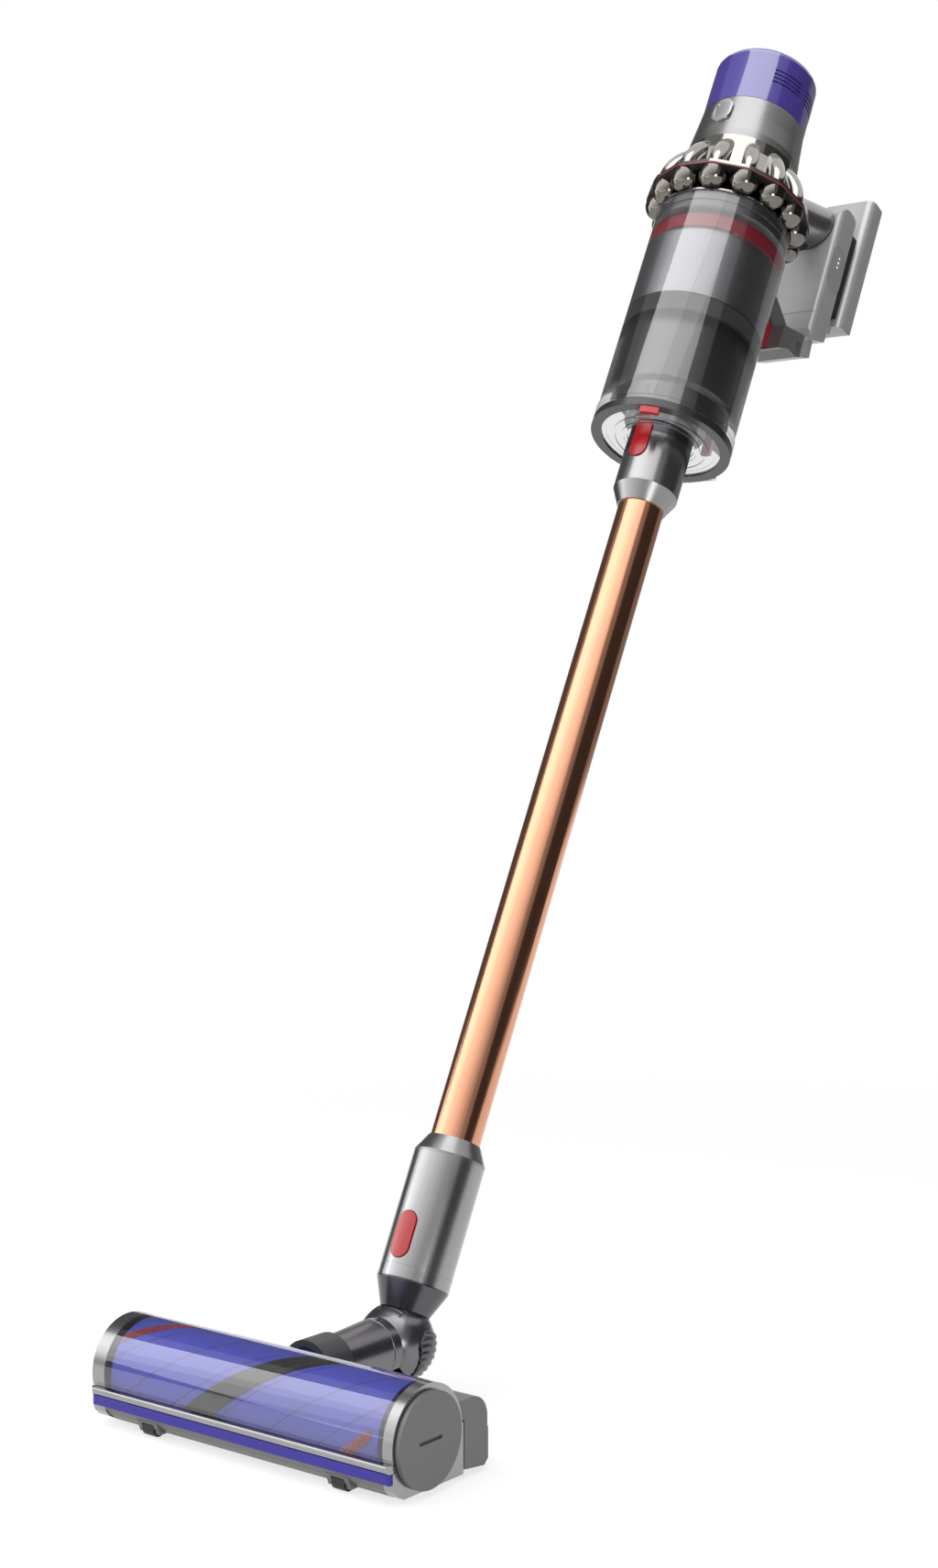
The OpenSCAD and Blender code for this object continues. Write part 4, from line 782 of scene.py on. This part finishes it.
# %% Ribbed boot
# The pleats follow a line from the right side, round behind and below, to the left side
PLEAT_LINE = [pointing(0.862, -0.073, -0.539), pointing(0, 0.766, -0.643), pointing(-0.862, -0.073, -0.539)]
BOOT_EDGE = 59.0
PLEATS = 6
BOOT_INSIDE = 26.05
BOOT_OUTSIDE = 26.15
# The rows are rings round the boot's axis, out to BOOT_REACH degrees from it
BOOT_AXIS = pointing(0, 0.707, -0.707)
BOOT_UP = pointing(0, 0.707, 0.707)
BOOT_REACH = 106
BOOT_ROWS = 132
BOOT_SECTORS = 200
# The pleats keep this far from the wand's axis, and the whole boot this far from straight ahead
PLEATS_FROM_WAND = math.radians(42.3)
BOOT_FROM_FRONT = math.radians(77.5)
# Behind, a smooth lip runs on up and tucks under the upper neck, so that no slot shows between them
LIP_EDGE = BOOT_EDGE + 27
LIP_HALF = 0.6
LIP_FROM_WAND = math.radians(24)


def from_line(ray):
    """The angle in degrees from a direction to the pleat line."""
    best = 180.0
    for a, b in zip(PLEAT_LINE, PLEAT_LINE[1:]):
        across = a.cross(b).normalized()
        flat = (ray - across * ray.dot(across)).normalized()
        if a.cross(flat).dot(across) > 0 and flat.cross(b).dot(across) > 0:
            best = min(best, math.degrees(ray.angle(flat)))
        best = min(best, math.degrees(ray.angle(a)), math.degrees(ray.angle(b)))
    return best


def boot_height(away):
    """The boot's radius in mm at an angle from the pleat line: a low bulge with rounded pleats."""
    share = max(0.0, 1 - away / BOOT_EDGE)
    lap = (share * PLEATS) % 1.0
    return BOOT_OUTSIDE + 0.3 * share + 1.2 * math.sin(math.pi * lap) ** 0.8 * min(1.0, share * 12)


def in_boot(ray, away):
    """Whether a direction lies on the boot: on its pleats or its lip, and clear of the slot in front."""
    pleated = away < BOOT_EDGE and ray.angle(AXIS) > PLEATS_FROM_WAND
    tucked = away < LIP_EDGE and abs(ray.x) < LIP_HALF and ray.y > 0 and ray.angle(AXIS) > LIP_FROM_WAND
    return (pleated or tucked) and ray.angle(Vector((0, -1, 0))) > BOOT_FROM_FRONT


verts, faces, kept = [], [], []
for row in range(BOOT_ROWS):
    a = math.radians(BOOT_REACH * row / (BOOT_ROWS - 1))
    for k in range(BOOT_SECTORS):
        t = 2 * math.pi * k / BOOT_SECTORS
        ray = BOOT_AXIS * math.cos(a) + (BOOT_UP * math.cos(t) + Vector((1, 0, 0)) * math.sin(t)) * math.sin(a)
        away = from_line(ray)
        kept.append(in_boot(ray, away))
        verts.append(PIVOT + ray * boot_height(away) * MM)
for row in range(BOOT_ROWS - 1):
    for k in range(BOOT_SECTORS):
        a, b = row * BOOT_SECTORS + k, row * BOOT_SECTORS + (k + 1) % BOOT_SECTORS
        if kept[a] and kept[b] and kept[a + BOOT_SECTORS] and kept[b + BOOT_SECTORS]:
            faces.append((a, b, b + BOOT_SECTORS, a + BOOT_SECTORS))
boot = new_piece("elbow_boot", verts, faces, M["boot"])
shape = bmesh.new()
shape.from_mesh(boot.data)
bmesh.ops.remove_doubles(shape, verts=shape.verts, dist=1e-7)
bmesh.ops.delete(shape, geom=[v for v in shape.verts if not v.link_faces], context="VERTS")
outer = list(shape.verts)
inner = {v: shape.verts.new(PIVOT + (v.co - PIVOT).normalized() * BOOT_INSIDE * MM) for v in outer}
rim = [e for e in shape.edges if len(e.link_faces) == 1]
for face in list(shape.faces):
    shape.faces.new([inner[v] for v in reversed(face.verts)])
for edge in rim:
    a, b = edge.verts
    shape.faces.new((a, b, inner[b], inner[a]))
shape.to_mesh(boot.data)
shape.free()
clean(boot)
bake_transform(boot)
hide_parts("neck_bellows")
print("boot pleats:", PLEATS, "faces:", len(boot.data.polygons))

# %% Front apron
APRON_FROM = 91.5
APRON_SPAN = 25.7
APRON_HALF = 12.2
APRON_OUTSIDE = 25.5
APRON_INSIDE = 24.6
verts, faces = [], []
rows, columns = 36, 12
for i in range(rows + 1):
    angle = APRON_FROM + APRON_SPAN * i / rows
    rise = 0.22 * math.sin(math.pi * i / rows * 3) ** 2
    for layer in (APRON_OUTSIDE + rise, APRON_INSIDE):
        for j in range(columns + 1):
            x = APRON_HALF * (2 * j / columns - 1)
            flat = math.sqrt(layer * layer - x * x)
            verts.append(elbow_point(angle, flat, x))
wide = columns + 1
for i in range(rows):
    for j in range(columns):
        a = 2 * i * wide + j
        faces.append((a, a + 1, a + 1 + 2 * wide, a + 2 * wide))
        b = a + wide
        faces.append((b, b + 2 * wide, b + 1 + 2 * wide, b + 1))
    for j in (0, columns):
        a = 2 * i * wide + j
        faces.append((a, a + 2 * wide, a + 3 * wide, a + wide))
for i in (0, rows):
    for j in range(columns):
        a = 2 * i * wide + j
        faces.append((a, a + wide, a + wide + 1, a + 1))
apron = new_piece("elbow_apron", verts, faces, M["boot"])
clean(apron)
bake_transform(apron)
print("apron faces:", len(apron.data.polygons))

# %% [markdown]
# ## Springs
# Each button and the trigger rest on a coil of steel wire that shortens as they are pressed. Each coil here is a
# merged copy of the drawn one, at its free length.

# %% Springs as merged copies
for name, joint in (("lower_release_spring", "lower_button_press"), ("upper_release_spring", "upper_button_press"),
                    ("trigger_spring", "trigger_pull")):
    drawn = nodes[name]
    points = [drawn.matrix_world @ v.co for v in drawn.data.vertices]
    triangles = [tuple(p.vertices) for p in drawn.data.polygons]
    coil = new_piece(name.replace("spring", "coil"), points, triangles, M["steel"])
    clean(coil, smooth=False)
    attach(coil, "cleaner")
    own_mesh(coil)
    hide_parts(name)

# %% [markdown]
# ## Charge lights
# Three small lenses stand in the window on each side of the handle, turned from one small profile.

# %% Charge lights
lens_material, tree = new_material("white_light_lens")
place = add(tree, "ShaderNodeTexCoord").outputs["Object"]
frost = add(tree, "ShaderNodeTexNoise", {"Vector": place, "Scale": 1800.0}).outputs["Fac"]
gloss = add(tree, "ShaderNodeMapRange", {"Value": frost, "To Min": 0.2, "To Max": 0.4})
lens = add(tree, "ShaderNodeBsdfPrincipled", {"Base Color": colour("#f4f4f4"), "Roughness": gloss,
                                              "Emission Color": colour("#ffffff"), "Emission Strength": 0.5})
add(tree, "ShaderNodeOutputMaterial", {"Surface": lens})
# The profile gives radius and height over the window's face, and each lens stands so far above the window's foot
LENS = [(0.0, 0.42), (0.45, 0.38), (0.8, 0.24), (1.0, 0.05), (1.0, -0.35), (0.0, -0.35)]
LENS_UP = (11.6, 7.2, 2.8)
LENS_STEPS = 20
WINDOW_FACE = 24.8
WINDOW_BACK = 131.5
WINDOW_FOOT = 959.81 - 5.5
for sign, name in ((-1, "charge_lights_left"), (1, "charge_lights_right")):
    verts, faces = [], []
    for up in LENS_UP:
        first = len(verts)
        for radius, out in LENS:
            for s in range(LENS_STEPS):
                t = 2 * math.pi * s / LENS_STEPS
                verts.append(machine(sign * (WINDOW_FACE + out), WINDOW_BACK + radius * math.cos(t),
                                     WINDOW_FOOT + up + radius * math.sin(t)))
        for row in range(len(LENS) - 1):
            for s in range(LENS_STEPS):
                a, b = first + row * LENS_STEPS + s, first + row * LENS_STEPS + (s + 1) % LENS_STEPS
                faces.append((a, b, b + LENS_STEPS, a + LENS_STEPS))
    lights = new_piece(name, verts, faces, lens_material)
    clean(lights)
    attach(lights, "cleaner")
print("lenses on each side:", len(LENS_UP))
